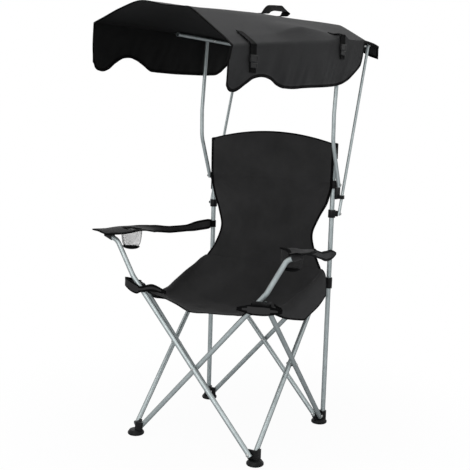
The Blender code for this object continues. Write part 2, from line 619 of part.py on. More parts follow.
def frame():
    """Bodies in the order of the linkage, each with its tube, fitting and rivets."""
    body("left_post", (-POST, POST, 0))
    body("back_tube_a", (-PIN, OUTER, FOOT_PIN_Z))
    body("back_tube_b", (0, HALF, CROSS_Z))
    body("right_post", (PIN, INNER, FOOT_PIN_Z))
    body("right_slider", (PIN, OUTER, CORNER_Z))
    body("left_slider", (-PIN, INNER, CORNER_Z))
    body("left_tube_b", (-INNER, PIN, FOOT_PIN_Z))
    body("left_tube_a", (-HALF, 0, CROSS_Z))
    body("front_left_foot", (-OUTER, -PIN, FOOT_PIN_Z))
    body("front_tube_b", (-PIN, -INNER, FOOT_PIN_Z))
    body("front_tube_a", (0, -HALF, CROSS_Z))
    body("front_right_foot", (PIN, -OUTER, FOOT_PIN_Z))
    body("front_right_corner", (PIN, -INNER, CORNER_Z))
    body("front_left_corner", (-PIN, -OUTER, CORNER_Z))
    body("right_tube_a", (OUTER, PIN, FOOT_PIN_Z))
    body("right_tube_b", (HALF, 0, CROSS_Z))

    rear_left = foot("rear_left_foot", "left_post")
    rear_right = foot("rear_right_foot", "right_post")
    front_left = foot("front_left_foot", "front_left_foot")
    front_right = foot("front_right_foot", "front_right_foot")
    corner_left = corner("front_left_corner", "front_left_corner")
    corner_right = corner("front_right_corner", "front_right_corner")
    slide_left = slider("left_slider", "left_slider")
    slide_right = slider("right_slider", "right_slider")
    front_cross = cross_pin("front_cross_rivet", False, -1, "front_tube_b")
    back_cross = cross_pin("back_cross_rivet", False, 1, "back_tube_a")
    left_cross = cross_pin("left_cross_rivet", True, -1, "left_tube_b")
    right_cross = cross_pin("right_cross_rivet", True, 1, "right_tube_a")

    straight = {
        "back_tube_a": ((False, OUTER, -PIN, PIN), (rear_left[1], slide_right[1], back_cross)),
        "back_tube_b": ((False, INNER, PIN, -PIN), (rear_right[1], slide_left[1], back_cross)),
        "left_tube_a": ((True, -OUTER, -PIN, PIN), (front_left[0], slide_left[0], left_cross)),
        "left_tube_b": ((True, -INNER, PIN, -PIN), (rear_left[0], corner_left[0], left_cross)),
        "right_tube_a": ((True, OUTER, PIN, -PIN), (rear_right[0], corner_right[0], right_cross)),
        "right_tube_b": ((True, INNER, -PIN, PIN), (front_right[0], slide_right[0], right_cross)),
    }
    for name, (run, bores) in straight.items():
        carry(cut(tube(name, along_tube(*run), TUBE_R, TUBE_WALL), *bores), name, "enamel")

    front = {
        "front_tube_a": (-OUTER, -1, (front_right[1], corner_left[1], front_cross)),
        "front_tube_b": (-INNER, 1, (front_left[1], corner_right[1], front_cross)),
    }
    for name, (plane, side, bores) in front.items():
        start = along_tube(False, plane, -side * PIN, side * PIN)[0]
        slope = 2 * PIN / (CORNER_Z - FOOT_PIN_Z)
        bend_x = PIN + slope * (ARM_BEND_Z - CORNER_Z)
        path = rounded_path([start, (side * bend_x, plane, ARM_BEND_Z),
                             (side * ARM_RISE_X, plane, ARM_RISE_Z),
                             (side * ARM_TIP_X, plane, ARM_TIP_Z)], ARM_BEND_R)
        carry(cut(tube(name, path, TUBE_R, TUBE_WALL), *bores), name, "enamel")


def post(side, body_name):
    axis = (side * POST, POST)
    path = [(*axis, SOCKET_FLOOR + GAP), (*axis, POST_TOP_Z)]
    carry(tube(body_name, path, TUBE_R, TUBE_WALL), body_name, "enamel")
    cap = cylinder(body_name + "_cap", (*axis, POST_TOP_Z - CAP_SKIRT), (*axis, POST_TOP_Z + CAP_H),
                   TUBE_R + GAP + CAP_WALL)
    cut(cap, guide(cylinder(body_name + "_cap_bore", (*axis, POST_TOP_Z - CAP_SKIRT - OVERRUN),
                            (*axis, POST_TOP_Z + GAP), TUBE_R + GAP)))
    carry(cap, body_name, "plastic")


# Canopy linkage

def link_ear(name, side, y, z, link_r):
    """A clamp round the post with an ear that carries a linkage pin."""
    axis = (side * POST, POST)
    clamp = cylinder(name, (*axis, z - CLAMP_HALF), (*axis, z + CLAMP_HALF), TUBE_R + GAP + CLAMP_WALL)
    ear_in, ear_out = POST + TUBE_R + GAP, MAIN_X - link_r - GAP
    ear = cylinder(name + "_ear", (side * ear_in, y, z), (side * ear_out, y, z), EAR_R)
    weld(clamp, ear)
    return clamp


def post_bore(name, side, z):
    axis = (side * POST, POST)
    return guide(cylinder(name + "_post_bore", (*axis, z - CLAMP_HALF - OVERRUN),
                          (*axis, z + CLAMP_HALF + OVERRUN), TUBE_R + GAP))


def link_pin_bore(name, side, y, z, x_in, x_out):
    return guide(cylinder(name, (side * x_in, y, z), (side * x_out, y, z), PIN_R + GAP, PIN_SIDES))


def strut_y(z):
    """Where the strut's axis is at a height."""
    return P2_Y + (T2_Y - P2_Y) * (z - P2_Z) / (T2_Z - P2_Z)


def strut_clip(name, side, clamp):
    """The springy U that holds the strut while the canopy is up, open to the rear."""
    y = strut_y(CLIP_Z)
    inner, outer = STRUT_R + GAP, STRUT_R + GAP + CLIP_WALL
    low, high = CLIP_Z - CLIP_HALF, CLIP_Z + CLIP_HALF
    block = box(name + "_clip", (side * (MAIN_X - outer), y - outer, low),
                (side * (MAIN_X + outer), y + STRUT_R * CLIP_MOUTH_SHARE, high))
    arm = box(name + "_clip_arm", (side * (POST + TUBE_R + GAP), POST, low),
              (side * (MAIN_X - MAIN_R - GAP), y, P1_Z - CLAMP_HALF + CLIP_WALL))
    weld(clamp, arm, block)
    way = Vector((0, T2_Y - P2_Y, T2_Z - P2_Z)).normalized() * (CLIP_HALF + OVERRUN * 2)
    middle = Vector((side * MAIN_X, y, CLIP_Z))
    cut(clamp, guide(cylinder(name + "_clip_bore", middle - way, middle + way, inner)),
        guide(box(name + "_clip_mouth", (side * (MAIN_X - inner), y, low - OVERRUN),
                  (side * (MAIN_X + inner), y + outer + OVERRUN, high + OVERRUN))))
    return clamp


def linkage(side, word, post_name):
    """One side of the canopy's folding linkage, and the post's clamps that carry it."""
    main_body, arm_body, strut_body = (f"{word}_canopy_{part}" for part in ("post", "arm", "strut"))
    body(main_body, (side * MAIN_X, P1_Y, P1_Z))
    body(arm_body, (side * CANOPY_ARM_X, T1_Y, T1_Z))
    body(strut_body, (side * MAIN_X, P2_Y, P2_Z))

    upper = strut_clip(word + "_canopy_bracket", side,
                       link_ear(word + "_canopy_bracket", side, P1_Y, P1_Z, MAIN_R))
    lower = link_ear(word + "_strut_bracket", side, P2_Y, P2_Z, STRUT_R)
    bracket_bores = []
    for clamp, link_r, y, z in ((upper, MAIN_R, P1_Y, P1_Z), (lower, STRUT_R, P2_Y, P2_Z)):
        cut(clamp, post_bore(clamp.name, side, z))
        top = MAIN_X + link_r + GAP
        weld(clamp, rivet(clamp.name + "_pin", (side * (top + HEAD_H), y, z), (side * top, y, z),
                          (side * (MAIN_X - link_r - OVERRUN), y, z)))
        bracket_bores.append(link_pin_bore(clamp.name + "_pin_bore", side, y, z,
                                           MAIN_X - link_r - OVERRUN, top + OVERRUN))
        carry(clamp, post_name, "plastic")

    joint_bores = []
    for kind, link_r, y, z in (("arm", MAIN_R, T1_Y, T1_Z), ("strut", STRUT_R, T2_Y, T2_Z)):
        stops = [(side * at, y, z) for at in (MAIN_X + link_r + GAP, MAIN_X - link_r - GAP,
                                              CANOPY_ARM_X + MAIN_R + GAP, CANOPY_ARM_X - MAIN_R - GAP)]
        joint_bores.append(link_pin_bore(f"{word}_{kind}_rivet_bore", side, y, z,
                                         CANOPY_ARM_X - MAIN_R - OVERRUN, MAIN_X + link_r + OVERRUN))
        carry(shouldered_rivet(f"{word}_{kind}_rivet", stops[0], stops[1:3], stops[3], STRUT_R),
              arm_body, "steel")

    lean = (Vector((MAIN_KNEE_Y, MAIN_KNEE_Z)) - Vector((P1_Y, P1_Z))).normalized() * MAIN_R
    rise = (Vector((T1_Y, T1_Z)) - Vector((MAIN_BACK_Y, MAIN_BACK_Z))).normalized() * MAIN_R
    x = side * MAIN_X
    main = tube(main_body, rounded_path([
        (x, P1_Y - lean.x, P1_Z - lean.y), (x, MAIN_KNEE_Y, MAIN_KNEE_Z), (x, MAIN_BACK_Y, MAIN_BACK_Z),
        (x, T1_Y + rise.x, T1_Z + rise.y)], MAIN_BEND_R), MAIN_R, LINK_WALL)
    carry(cut(main, bracket_bores[0], joint_bores[0]), main_body, "enamel")

    x = side * CANOPY_ARM_X
    level = (Vector((T2_Y, T2_Z)) - Vector((T1_Y, T1_Z))).normalized() * MAIN_R
    arm = tube(arm_body, rounded_path([
        (x, CANOPY_ARM_FRONT_Y, CANOPY_ARM_FRONT_Z), (x, T1_Y, T1_Z),
        (x, T2_Y + level.x, T2_Z + level.y)], MAIN_BEND_R, 2), MAIN_R, LINK_WALL)
    carry(cut(arm, *joint_bores), arm_body, "enamel")

    x = side * MAIN_X
    past = (Vector((T2_Y, T2_Z)) - Vector((P2_Y, P2_Z))).normalized() * STRUT_R
    strut = tube(strut_body, [(x, P2_Y - past.x, P2_Z - past.y), (x, T2_Y + past.x, T2_Z + past.y)],
                 STRUT_R, LINK_WALL)
    carry(cut(strut, bracket_bores[1], joint_bores[1]), strut_body, "enamel")


# Sewn cloth

def seat_row(y):
    """One line of the seat from side to side: skirt, crest, hollow, crest, skirt."""
    crest_x, crest_z = HALF + blend(CREST_OUT, y), blend(CREST_Z, y)
    edge_x, edge_z, low = HALF + blend(SKIRT_OUT, y), blend(SKIRT_Z, y), blend(SEAT_CENTRE, y)
    half = [Vector((crest_x * share, y, low + (crest_z - low) * share ** SEAT_HOLLOW_POWER))
            for share in SEAT_SHARES]
    half.append(Vector((crest_x, y, crest_z)))
    out = 1 - SKIRT_BEND_SHARE / 3
    half.append(Vector((crest_x + (edge_x - crest_x) * out, y,
                        crest_z + (edge_z - crest_z) * SKIRT_BEND_SHARE)))
    half.append(Vector((edge_x, y, edge_z)))
    mirrored = [Vector((-p.x, p.y, p.z)) for p in reversed(half[1:])]
    return mirrored + half


def seat():
    """The seat in two pieces, which fold about the line between them when the chair closes."""
    body("seat_rear", (0, SEAT_REAR_Y, SEAT_REAR_Z))
    body("seat_front", (0, 0, blend(SEAT_CENTRE, 0)))
    for name, rows in (("seat_rear", (SEAT_REAR_Y - BACK_SEAM_GAP, *SEAT_REAR_ROWS, SEAM_GAP)),
                       ("seat_front", (-SEAM_GAP, *SEAT_FRONT_ROWS))):
        carry(sheet(name, [[seat_row(y) for y in rows]]), name, "cloth")


def back_panel():
    """The back: hung from the post tops in two pockets, drawn in at the waist."""
    edge_y = POST - TUBE_R - GAP - CLAMP_WALL - CLOTH
    top_z = POST_TOP_Z + CAP_H + GAP + CLOTH / 2
    rows = []
    for z in (top_z, *BACK_ROWS):
        side_y, mid_y = edge_y - blend(BACK_SIDE_IN, z), POST + blend(BACK_MID_BEHIND, z)
        arch = BACK_ARCH if z == top_z else 0
        half_w = POST + blend(BACK_SIDE_OUT, z)
        rows.append([Vector((half_w * share, mid_y + (side_y - mid_y) * share * share,
                             z + arch * (1 - share * share))) for share in BACK_SHARES])
    panel = sheet("back_panel", [rows])
    for side, word in ((-1, "left"), (1, "right")):
        axis = (side * POST, POST)
        low = POST_TOP_Z - POCKET_DEPTH
        weld(panel, cylinder(word + "_pocket", (*axis, low), (*axis, top_z + CLOTH / 2), POST - edge_y))
        cut(panel, guide(cylinder(word + "_pocket_bore", (*axis, low - OVERRUN),
                                  (*axis, POST_TOP_Z + CAP_H + GAP), TUBE_R + CAP_WALL + GAP * 2)))
    carry(panel, "left_post", "cloth")


def armrest(side, word, heights):
    """A strap from the post that twists flat into a wide rest with a cup hole."""
    name = word + "_armrest"
    strap_z = heights[-1][1]
    body(name, (side * POST, POST, strap_z))
    rows = []
    for out, y, twist in ARM_LINE:
        turn = math.radians(twist)
        across = Vector((side * math.cos(turn), 0, math.sin(turn)))
        middle = Vector((side * (POST + out), y, blend(heights, y)))
        inner, outer = blend(ARM_INNER_W, y), blend(ARM_HALF_W, y)
        rows.append([middle + across * (outer * share - inner * (1 - share)) for share in ARM_SHARES])
    rest = sheet(name, [rows])
    axis = (side * POST, POST)
    low, high = strap_z - STRAP_HALF_W, strap_z + STRAP_HALF_W
    cup = Vector((side * (POST + CUP_OUT), CUP_Y, blend(heights, CUP_Y)))
    fall = blend(heights, CUP_Y - CUP_R) - blend(heights, CUP_Y + CUP_R)
    upward = Vector((0, fall, CUP_R * 2)).normalized()
    weld(rest, cylinder(name + "_loop", (*axis, low), (*axis, high), TUBE_R + GAP + CLOTH))
    cut(rest, guide(cylinder(name + "_loop_bore", (*axis, low - OVERRUN), (*axis, high + OVERRUN),
                             TUBE_R + GAP)),
        guide(cylinder(name + "_cup_hole", cup - upward * OVERRUN * 2, cup + upward * OVERRUN * 2,
                       CUP_R + CUP_RING_R + GAP)))
    carry(rest, name, "cloth")

    bm = bmesh.new()
    floor_r = CUP_LOW_R * CUP_FLOOR_SHARE
    add_turned(bm, cup, [
        (0, -CUP_H), (floor_r, -CUP_H), (CUP_LOW_R, -CUP_H * CUP_FLOOR_SHARE),
        (CUP_R, -CUP_RING_R), (CUP_R + CUP_RING_R, 0), (CUP_R, CUP_RING_R), (CUP_R - CUP_RING_R, 0),
        (CUP_R - CUP_WALL, -CUP_RING_R), (CUP_LOW_R - CUP_WALL, -CUP_H * CUP_FLOOR_SHARE),
        (floor_r - CUP_WALL, -CUP_H + CUP_WALL), (0, -CUP_H + CUP_WALL)], upward, ROUND_SIDES)
    carry(mesh_object(word + "_cup_holder", bm), name, "mesh_cloth")


def roof_row(y):
    """One line of the roof from seam to seam; each point hangs askew by its own X."""
    row = []
    for x, heights in zip(ROOF_X, ROOF_Z):
        along = y - blend(CANOPY_SKEW_SHARES, y) * x
        row.append(Vector((x, along, blend(heights, along))))
    return row


def canopy_cover():
    """Roof, two side valances that round up behind the struts, and a short rear drop."""
    roof = [roof_row(y) for y in CANOPY_ROWS]
    rear = [roof[-1]]
    for share in REAR_SHARES:
        rear.append([p + Vector((0, CLOTH * share, -REAR_DROP * share)) for p in roof[-1]])
    grids = [roof, rear]
    for index, side, hem in ((0, -1, LEFT_HEM), (-1, 1, RIGHT_HEM)):
        tops = [row[index] for row, y in zip(roof, CANOPY_ROWS) if y <= CANOPY_SIDE_END_Y]
        hung = [(top, max(LEAST_HANG, top.z - blend(hem, top.y))) for top in tops]
        grids.append([[p + Vector((side * CLOTH * math.sin(math.pi * share), 0, -share * depth))
                       for p, depth in hung] for share in VALANCE_SHARES])
    carry(sheet("canopy_cover", grids), "left_canopy_arm", "roof_cloth")


def closer_line(y, lift_share):
    """A closing strap's line: down the roof's last slope, over the right seam and the valance."""
    slope, shoulder, seam = roof_row(y)[-3:]
    lift = Vector((0, 0, WEBBING_LIFT * lift_share))
    out = Vector((CLOSER_OUT, 0, 0))
    return [slope.lerp(shoulder, CLOSER_TOP_SHARE) + lift, shoulder + lift, seam + lift + out * 0.8,
            seam + out + Vector((0, 0, -BUCKLE_DROP)), seam + out + Vector((0, 0, -CLOSER_DROP))]


def webbing(line, across):
    """A flat strap as a grid: each point of its line widened along one direction."""
    across = Vector(across) * WEBBING_W / 2
    return [[p - across, p + across] for p in line]


def straps():
    """Two closing straps with their buckles, and the carrying loop on the ridge."""
    half = Vector(BUCKLE)
    for word, y, lift_share in (("front", CLOSER_FRONT_Y, FRONT_LIFT_SHARE),
                                ("rear", CLOSER_REAR_Y, REAR_LIFT_SHARE)):
        line = closer_line(y, lift_share)
        closer = sheet(word + "_closing_strap", [webbing(line, (0, 1, 0))], WEBBING)
        middle = line[3] + Vector((half.x / 2, 0, 0))
        weld(closer, box(word + "_buckle", middle - half, middle + half, BUCKLE_ROUND))
        carry(closer, "right_canopy_arm", "webbing")

    ridge_x = ROOF_X[4]
    points = []
    for y, height in HANDLE_LINE:
        points.append((ridge_x, y, blend(ROOF_Z[4], y) + height))
    handle = sheet("carry_handle", [webbing(through(points, HANDLE_STEPS), (1, 0, 0))], WEBBING)
    carry(handle, "left_canopy_arm", "webbing")


def build():
    frame()
    post(-1, "left_post")
    post(1, "right_post")
    linkage(-1, "left", "left_post")
    linkage(1, "right", "right_post")
    seat()
    back_panel()
    armrest(-1, "left", LEFT_ARM_Z)
    armrest(1, "right", RIGHT_ARM_Z)
    canopy_cover()
    straps()
    bpy.context.view_layer.update()


build()
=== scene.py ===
# Canopy folding chair: the looks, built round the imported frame.
#
# The chair is drawn about the middle of its four feet, and MIDDLE_Y is where that middle
# lies in the frame. The sections follow the chair as it is put together, from the floor up.
import math

import bmesh
import bpy
from mathutils import Matrix, Vector, noise


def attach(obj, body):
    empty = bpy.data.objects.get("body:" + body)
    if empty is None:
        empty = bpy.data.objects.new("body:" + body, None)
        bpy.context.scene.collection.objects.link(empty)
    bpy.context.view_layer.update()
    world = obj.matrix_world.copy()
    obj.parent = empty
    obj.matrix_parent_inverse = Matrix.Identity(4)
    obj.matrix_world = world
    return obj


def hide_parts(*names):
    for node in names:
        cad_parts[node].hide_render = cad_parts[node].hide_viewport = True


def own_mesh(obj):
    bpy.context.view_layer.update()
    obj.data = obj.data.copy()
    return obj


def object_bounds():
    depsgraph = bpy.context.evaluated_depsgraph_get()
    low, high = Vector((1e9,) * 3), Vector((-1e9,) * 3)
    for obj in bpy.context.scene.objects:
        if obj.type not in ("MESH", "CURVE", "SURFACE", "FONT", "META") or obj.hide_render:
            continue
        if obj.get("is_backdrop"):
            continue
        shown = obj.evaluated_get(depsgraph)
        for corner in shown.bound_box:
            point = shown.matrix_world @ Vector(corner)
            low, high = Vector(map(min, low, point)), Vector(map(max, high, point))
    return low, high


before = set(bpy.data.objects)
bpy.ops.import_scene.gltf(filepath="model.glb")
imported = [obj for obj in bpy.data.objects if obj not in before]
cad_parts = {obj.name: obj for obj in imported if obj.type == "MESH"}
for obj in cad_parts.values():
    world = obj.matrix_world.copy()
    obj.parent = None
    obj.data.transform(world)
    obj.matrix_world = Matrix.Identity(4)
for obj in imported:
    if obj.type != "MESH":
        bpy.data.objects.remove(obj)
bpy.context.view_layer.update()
MIDDLE_Y = -0.0233


# ---- Studio -------------------------------------------------------------------------------
# A white floor that runs out into a white surround, a wide soft lamp over the chair and a
# weaker one from the front, and the camera at the photograph's place.

camera_data = bpy.data.cameras.new("photo_camera")
camera_data.sensor_fit = 'HORIZONTAL'
camera_data.sensor_width = 36.0
camera_data.lens = 67.465
camera_data.clip_start = 0.05
camera_data.clip_end = 200.0
camera = bpy.data.objects.new("photo_camera", camera_data)
bpy.context.scene.collection.objects.link(camera)
yaw, pitch, roll = math.radians(30.57), math.radians(8.06), math.radians(1.71)
look_back = Vector((math.sin(yaw) * math.cos(pitch), -math.cos(yaw) * math.cos(pitch), math.sin(pitch)))
level_right = Vector((math.cos(yaw), math.sin(yaw), 0))
level_up = level_right.cross(-look_back)
view_right = level_right * math.cos(roll) + level_up * math.sin(roll)
view_up = level_up * math.cos(roll) - level_right * math.sin(roll)
camera.matrix_world = Matrix.Translation((1.451, -2.460 + MIDDLE_Y, 1.062)) @ Matrix((
    view_right, view_up, look_back)).transposed().to_4x4()
bpy.context.scene.camera = camera

scene = bpy.context.scene
scene.view_settings.view_transform = 'Standard'


def new_material(name):
    """A material with an empty Principled shader; returns it with its nodes, links and shader."""
    material = bpy.data.materials.new(name)
    material.use_nodes = True
    tree = material.node_tree
    return material, tree.nodes, tree.links, tree.nodes["Principled BSDF"]


world = bpy.data.worlds.new("white_surround")
scene.world = world
world.use_nodes = True
world_nodes, world_links = world.node_tree.nodes, world.node_tree.links
world_nodes.clear()
lit_by = world_nodes.new("ShaderNodeBackground")
lit_by.inputs["Color"].default_value = (0.93, 0.96, 1.0, 1)
lit_by.inputs["Strength"].default_value = 0.40
seen_as = world_nodes.new("ShaderNodeBackground")
seen_as.inputs["Color"].default_value = (1, 1, 1, 1)
seen_as.inputs["Strength"].default_value = 1.0
path = world_nodes.new("ShaderNodeLightPath")
seen_by_any = world_nodes.new("ShaderNodeMath")
seen_by_any.operation = 'MAXIMUM'
seen_by_glass = world_nodes.new("ShaderNodeMath")
seen_by_glass.operation = 'MAXIMUM'
world_mix = world_nodes.new("ShaderNodeMixShader")
world_out = world_nodes.new("ShaderNodeOutputWorld")
world_links.new(path.outputs["Is Camera Ray"], seen_by_any.inputs[0])
world_links.new(path.outputs["Is Glossy Ray"], seen_by_any.inputs[1])
world_links.new(seen_by_any.outputs[0], seen_by_glass.inputs[0])
world_links.new(path.outputs["Is Transmission Ray"], seen_by_glass.inputs[1])
world_links.new(seen_by_glass.outputs[0], world_mix.inputs[0])
world_links.new(lit_by.outputs[0], world_mix.inputs[1])
world_links.new(seen_as.outputs[0], world_mix.inputs[2])
world_links.new(world_mix.outputs[0], world_out.inputs[0])

bpy.ops.mesh.primitive_circle_add(vertices=96, radius=40, fill_type='NGON')
floor = bpy.context.object
floor.name = "studio_floor"
floor_material, nodes, links, shader = new_material("studio_floor")
shader.inputs["Base Color"].default_value = (0.93, 0.93, 0.93, 1)
shader.inputs["Roughness"].default_value = 0.9
shader.inputs["Specular IOR Level"].default_value = 0.1
where = nodes.new("ShaderNodeTexCoord")
away = nodes.new("ShaderNodeVectorMath")
away.operation = 'LENGTH'
fade = nodes.new("ShaderNodeMapRange")
fade.interpolation_type = 'SMOOTHSTEP'
fade.inputs["From Min"].default_value = 0.35
fade.inputs["From Max"].default_value = 1.2
fade.inputs["To Min"].default_value = 0.96
white = nodes.new("ShaderNodeEmission")
ray = nodes.new("ShaderNodeLightPath")
seen_white = nodes.new("ShaderNodeMath")
seen_white.operation = 'MULTIPLY'
floor_mix = nodes.new("ShaderNodeMixShader")
links.new(where.outputs["Object"], away.inputs[0])
links.new(away.outputs["Value"], fade.inputs["Value"])
links.new(fade.outputs["Result"], seen_white.inputs[0])
links.new(ray.outputs["Is Camera Ray"], seen_white.inputs[1])
links.new(seen_white.outputs[0], floor_mix.inputs[0])
links.new(shader.outputs[0], floor_mix.inputs[1])
links.new(white.outputs[0], floor_mix.inputs[2])
links.new(floor_mix.outputs[0], nodes["Material Output"].inputs["Surface"])
floor.data.materials.append(floor_material)
floor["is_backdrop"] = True


def add_lamp(name, place, aim, size, power):
    lamp_data = bpy.data.lights.new(name, 'AREA')
    lamp_data.size = size
    lamp_data.energy = power
    lamp = bpy.data.objects.new(name, lamp_data)
    scene.collection.objects.link(lamp)
    lamp.location = place
    lamp.rotation_euler = (Vector(aim) - Vector(place)).to_track_quat('-Z', 'Y').to_euler()


add_lamp("soft_top_lamp", (-0.2, -0.7, 4.0), (0, 0, 0.7), 2.6, 58)
add_lamp("front_fill_lamp", (0.6, -3.8, 1.9), (0, 0, 0.6), 2.2, 32)


# ---- Tubes --------------------------------------------------------------------------------
# Round steel tube, powder-coated silver-grey: two posts, eight crossing legs, the front pair
# bent out into arm supports, and the thinner tubes that hold the canopy up.

POST = 0.234                        # a post's axis, X outward and Y behind the middle
MAIN_X, ARM_X = 0.254, 0.2315       # canopy uprights and stays, and the rails inside them
PIN, FOOT_PIN_Z, CORNER_Z = 0.207, 0.030, 0.492
OUTER, INNER = 0.234, 0.216         # the two planes in which crossing legs run
TUBE_R, LINK_R, STRUT_R = 0.008, 0.0065, 0.005
TUBE_WALL, LINK_WALL = 0.0012, 0.001
TUBE_END = 0.008
POST_LOW_Z, POST_TOP_Z = 0.0053, 0.954
# Arm supports: height and radius of the first bend, then X outward and Z of the next and the tip
ARM_BEND_Z, ARM_BEND_R = 0.528, 0.035
ARM_RISE, ARM_TIP = (0.303, 0.636), (0.338, 0.6495)
# Canopy tubes: Y and Z of their pins and bends
UPRIGHT_PIN, UPRIGHT_KNEE, UPRIGHT_BEND = (0.235, 0.826), (0.176, 0.966), (0.173, 1.060)
RAIL_FRONT, RAIL_PIN, RAIL_REAR = (-0.020, 1.303), (0.196, 1.300), (0.430, 1.296)
STAY_PIN = (0.248, 0.728)
CANOPY_BEND_R = 0.10

speckle = bpy.data.node_groups.new("speckle", 'ShaderNodeTree')
speckle.interface.new_socket("Vector", in_out='INPUT', socket_type='NodeSocketVector')
speckle.interface.new_socket("Grains per metre", in_out='INPUT', socket_type='NodeSocketFloat')
speckle.interface.new_socket("Patches per metre", in_out='INPUT', socket_type='NodeSocketFloat')
speckle.interface.new_socket("Height", in_out='OUTPUT', socket_type='NodeSocketFloat')
speckle.interface.new_socket("Patch", in_out='OUTPUT', socket_type='NodeSocketFloat')
group_in = speckle.nodes.new("NodeGroupInput")
group_out = speckle.nodes.new("NodeGroupOutput")
fine = speckle.nodes.new("ShaderNodeTexNoise")
fine.inputs["Detail"].default_value = 3
patch = speckle.nodes.new("ShaderNodeTexNoise")
patch.inputs["Detail"].default_value = 4
patch.inputs["Roughness"].default_value = 0.55
speckle.links.new(group_in.outputs["Vector"], fine.inputs["Vector"])
speckle.links.new(group_in.outputs["Vector"], patch.inputs["Vector"])
speckle.links.new(group_in.outputs["Grains per metre"], fine.inputs["Scale"])
speckle.links.new(group_in.outputs["Patches per metre"], patch.inputs["Scale"])
speckle.links.new(fine.outputs["Fac"], group_out.inputs["Height"])
speckle.links.new(patch.outputs["Fac"], group_out.inputs["Patch"])


def add_speckle(nodes, links, vector, grains, patches):
    """Places the speckle group and gives it a vector and its two scales."""
    group = nodes.new("ShaderNodeGroup")
    group.node_tree = speckle
    group.inputs["Grains per metre"].default_value = grains
    group.inputs["Patches per metre"].default_value = patches
    links.new(vector, group.inputs["Vector"])
    return group


def add_ramp(nodes, links, factor, stops):
    """A colour ramp between (position, colour) stops, driven by a factor."""
    ramp = nodes.new("ShaderNodeValToRGB")
    for element, (position, colour) in zip(ramp.color_ramp.elements, (stops[0], stops[-1])):
        element.position = position
        element.color = (*colour, 1)
    for position, colour in stops[1:-1]:
        element = ramp.color_ramp.elements.new(position)
        element.color = (*colour, 1)
    links.new(factor, ramp.inputs["Fac"])
    return ramp


def add_bump(nodes, links, height, shader, strength, distance):
    bump = nodes.new("ShaderNodeBump")
    bump.inputs["Strength"].default_value = strength
    bump.inputs["Distance"].default_value = distance
    links.new(height, bump.inputs["Height"])
    links.new(bump.outputs["Normal"], shader.inputs["Normal"])


def add_range(nodes, links, value, low, high):
    """Maps a 0 to 1 value onto low to high."""
    mapped = nodes.new("ShaderNodeMapRange")
    mapped.inputs["To Min"].default_value = low
    mapped.inputs["To Max"].default_value = high
    links.new(value, mapped.inputs["Value"])
    return mapped.outputs["Result"]


def speckled_finish(name, grains, patches, tones, gloss, relief):
    """A finish with a fine grain in relief and slow patches of tone and gloss; returns the
    material, its shader and its tone."""
    material, nodes, links, shader = new_material(name)
    object_place = nodes.new("ShaderNodeTexCoord").outputs["Object"]
    grain = add_speckle(nodes, links, object_place, grains, patches)
    tone = add_ramp(nodes, links, grain.outputs["Patch"], tones).outputs["Color"]
    links.new(tone, shader.inputs["Base Color"])
    links.new(add_range(nodes, links, grain.outputs["Patch"], *gloss), shader.inputs["Roughness"])
    add_bump(nodes, links, grain.outputs["Height"], shader, *relief)
    return material, shader, tone


enamel, shader, tone = speckled_finish(
    "silver_grey_powder_coat", 2600, 45,
    [(0.30, (0.310, 0.350, 0.350)), (0.52, (0.355, 0.395, 0.395)), (0.72, (0.40, 0.44, 0.44))],
    (0.30, 0.44), (0.04, 0.0002))
nodes, links = enamel.node_tree.nodes, enamel.node_tree.links
# Painted highlight and shade: the base colour is lighter where the tube faces the camera and darker toward its edges.
facing = nodes.new("ShaderNodeLayerWeight")
facing.inputs["Blend"].default_value = 0.5
painted_highlight = add_ramp(nodes, links, facing.outputs["Facing"],
                [(0.10, (1.45, 1.45, 1.45)), (0.45, (0.95, 0.95, 0.95)), (0.85, (0.42, 0.44, 0.44))])
tone_with_painted_highlight = nodes.new("ShaderNodeMix")
tone_with_painted_highlight.data_type = 'RGBA'
tone_with_painted_highlight.blend_type = 'MULTIPLY'
tone_with_painted_highlight.inputs["Factor"].default_value = 1.0
links.new(tone, tone_with_painted_highlight.inputs[6])
links.new(painted_highlight.outputs["Color"], tone_with_painted_highlight.inputs[7])
links.new(tone_with_painted_highlight.outputs[2], shader.inputs["Base Color"])
shader.inputs["Metallic"].default_value = 0.45
shader.inputs["Coat Weight"].default_value = 0.25
shader.inputs["Coat Roughness"].default_value = 0.25


def at(x, y, z):
    """A point given from the middle of the feet, in the frame."""
    return Vector((x, y + MIDDLE_Y, z))


def thicken(piece, wall, offset=-1.0):
    """Gives an open shell its wall, which lies inside it unless the offset says otherwise."""
    solid = piece.modifiers.new("wall", 'SOLIDIFY')
    solid.thickness = wall
    solid.offset = offset
    bpy.ops.object.modifier_apply(modifier="wall")


def join_pieces(parts, name, material, body):
    """Joins parts into one piece of one material on one body."""
    bpy.ops.object.select_all(action='DESELECT')
    for part in parts:
        part.select_set(True)
    bpy.context.view_layer.objects.active = parts[0]
    if len(parts) > 1:
        bpy.ops.object.join()
    piece = bpy.context.view_layer.objects.active
    piece.name = name
    piece.data.name = name
    piece.data.materials.clear()
    piece.data.materials.append(material)
    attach(piece, body)
    return piece


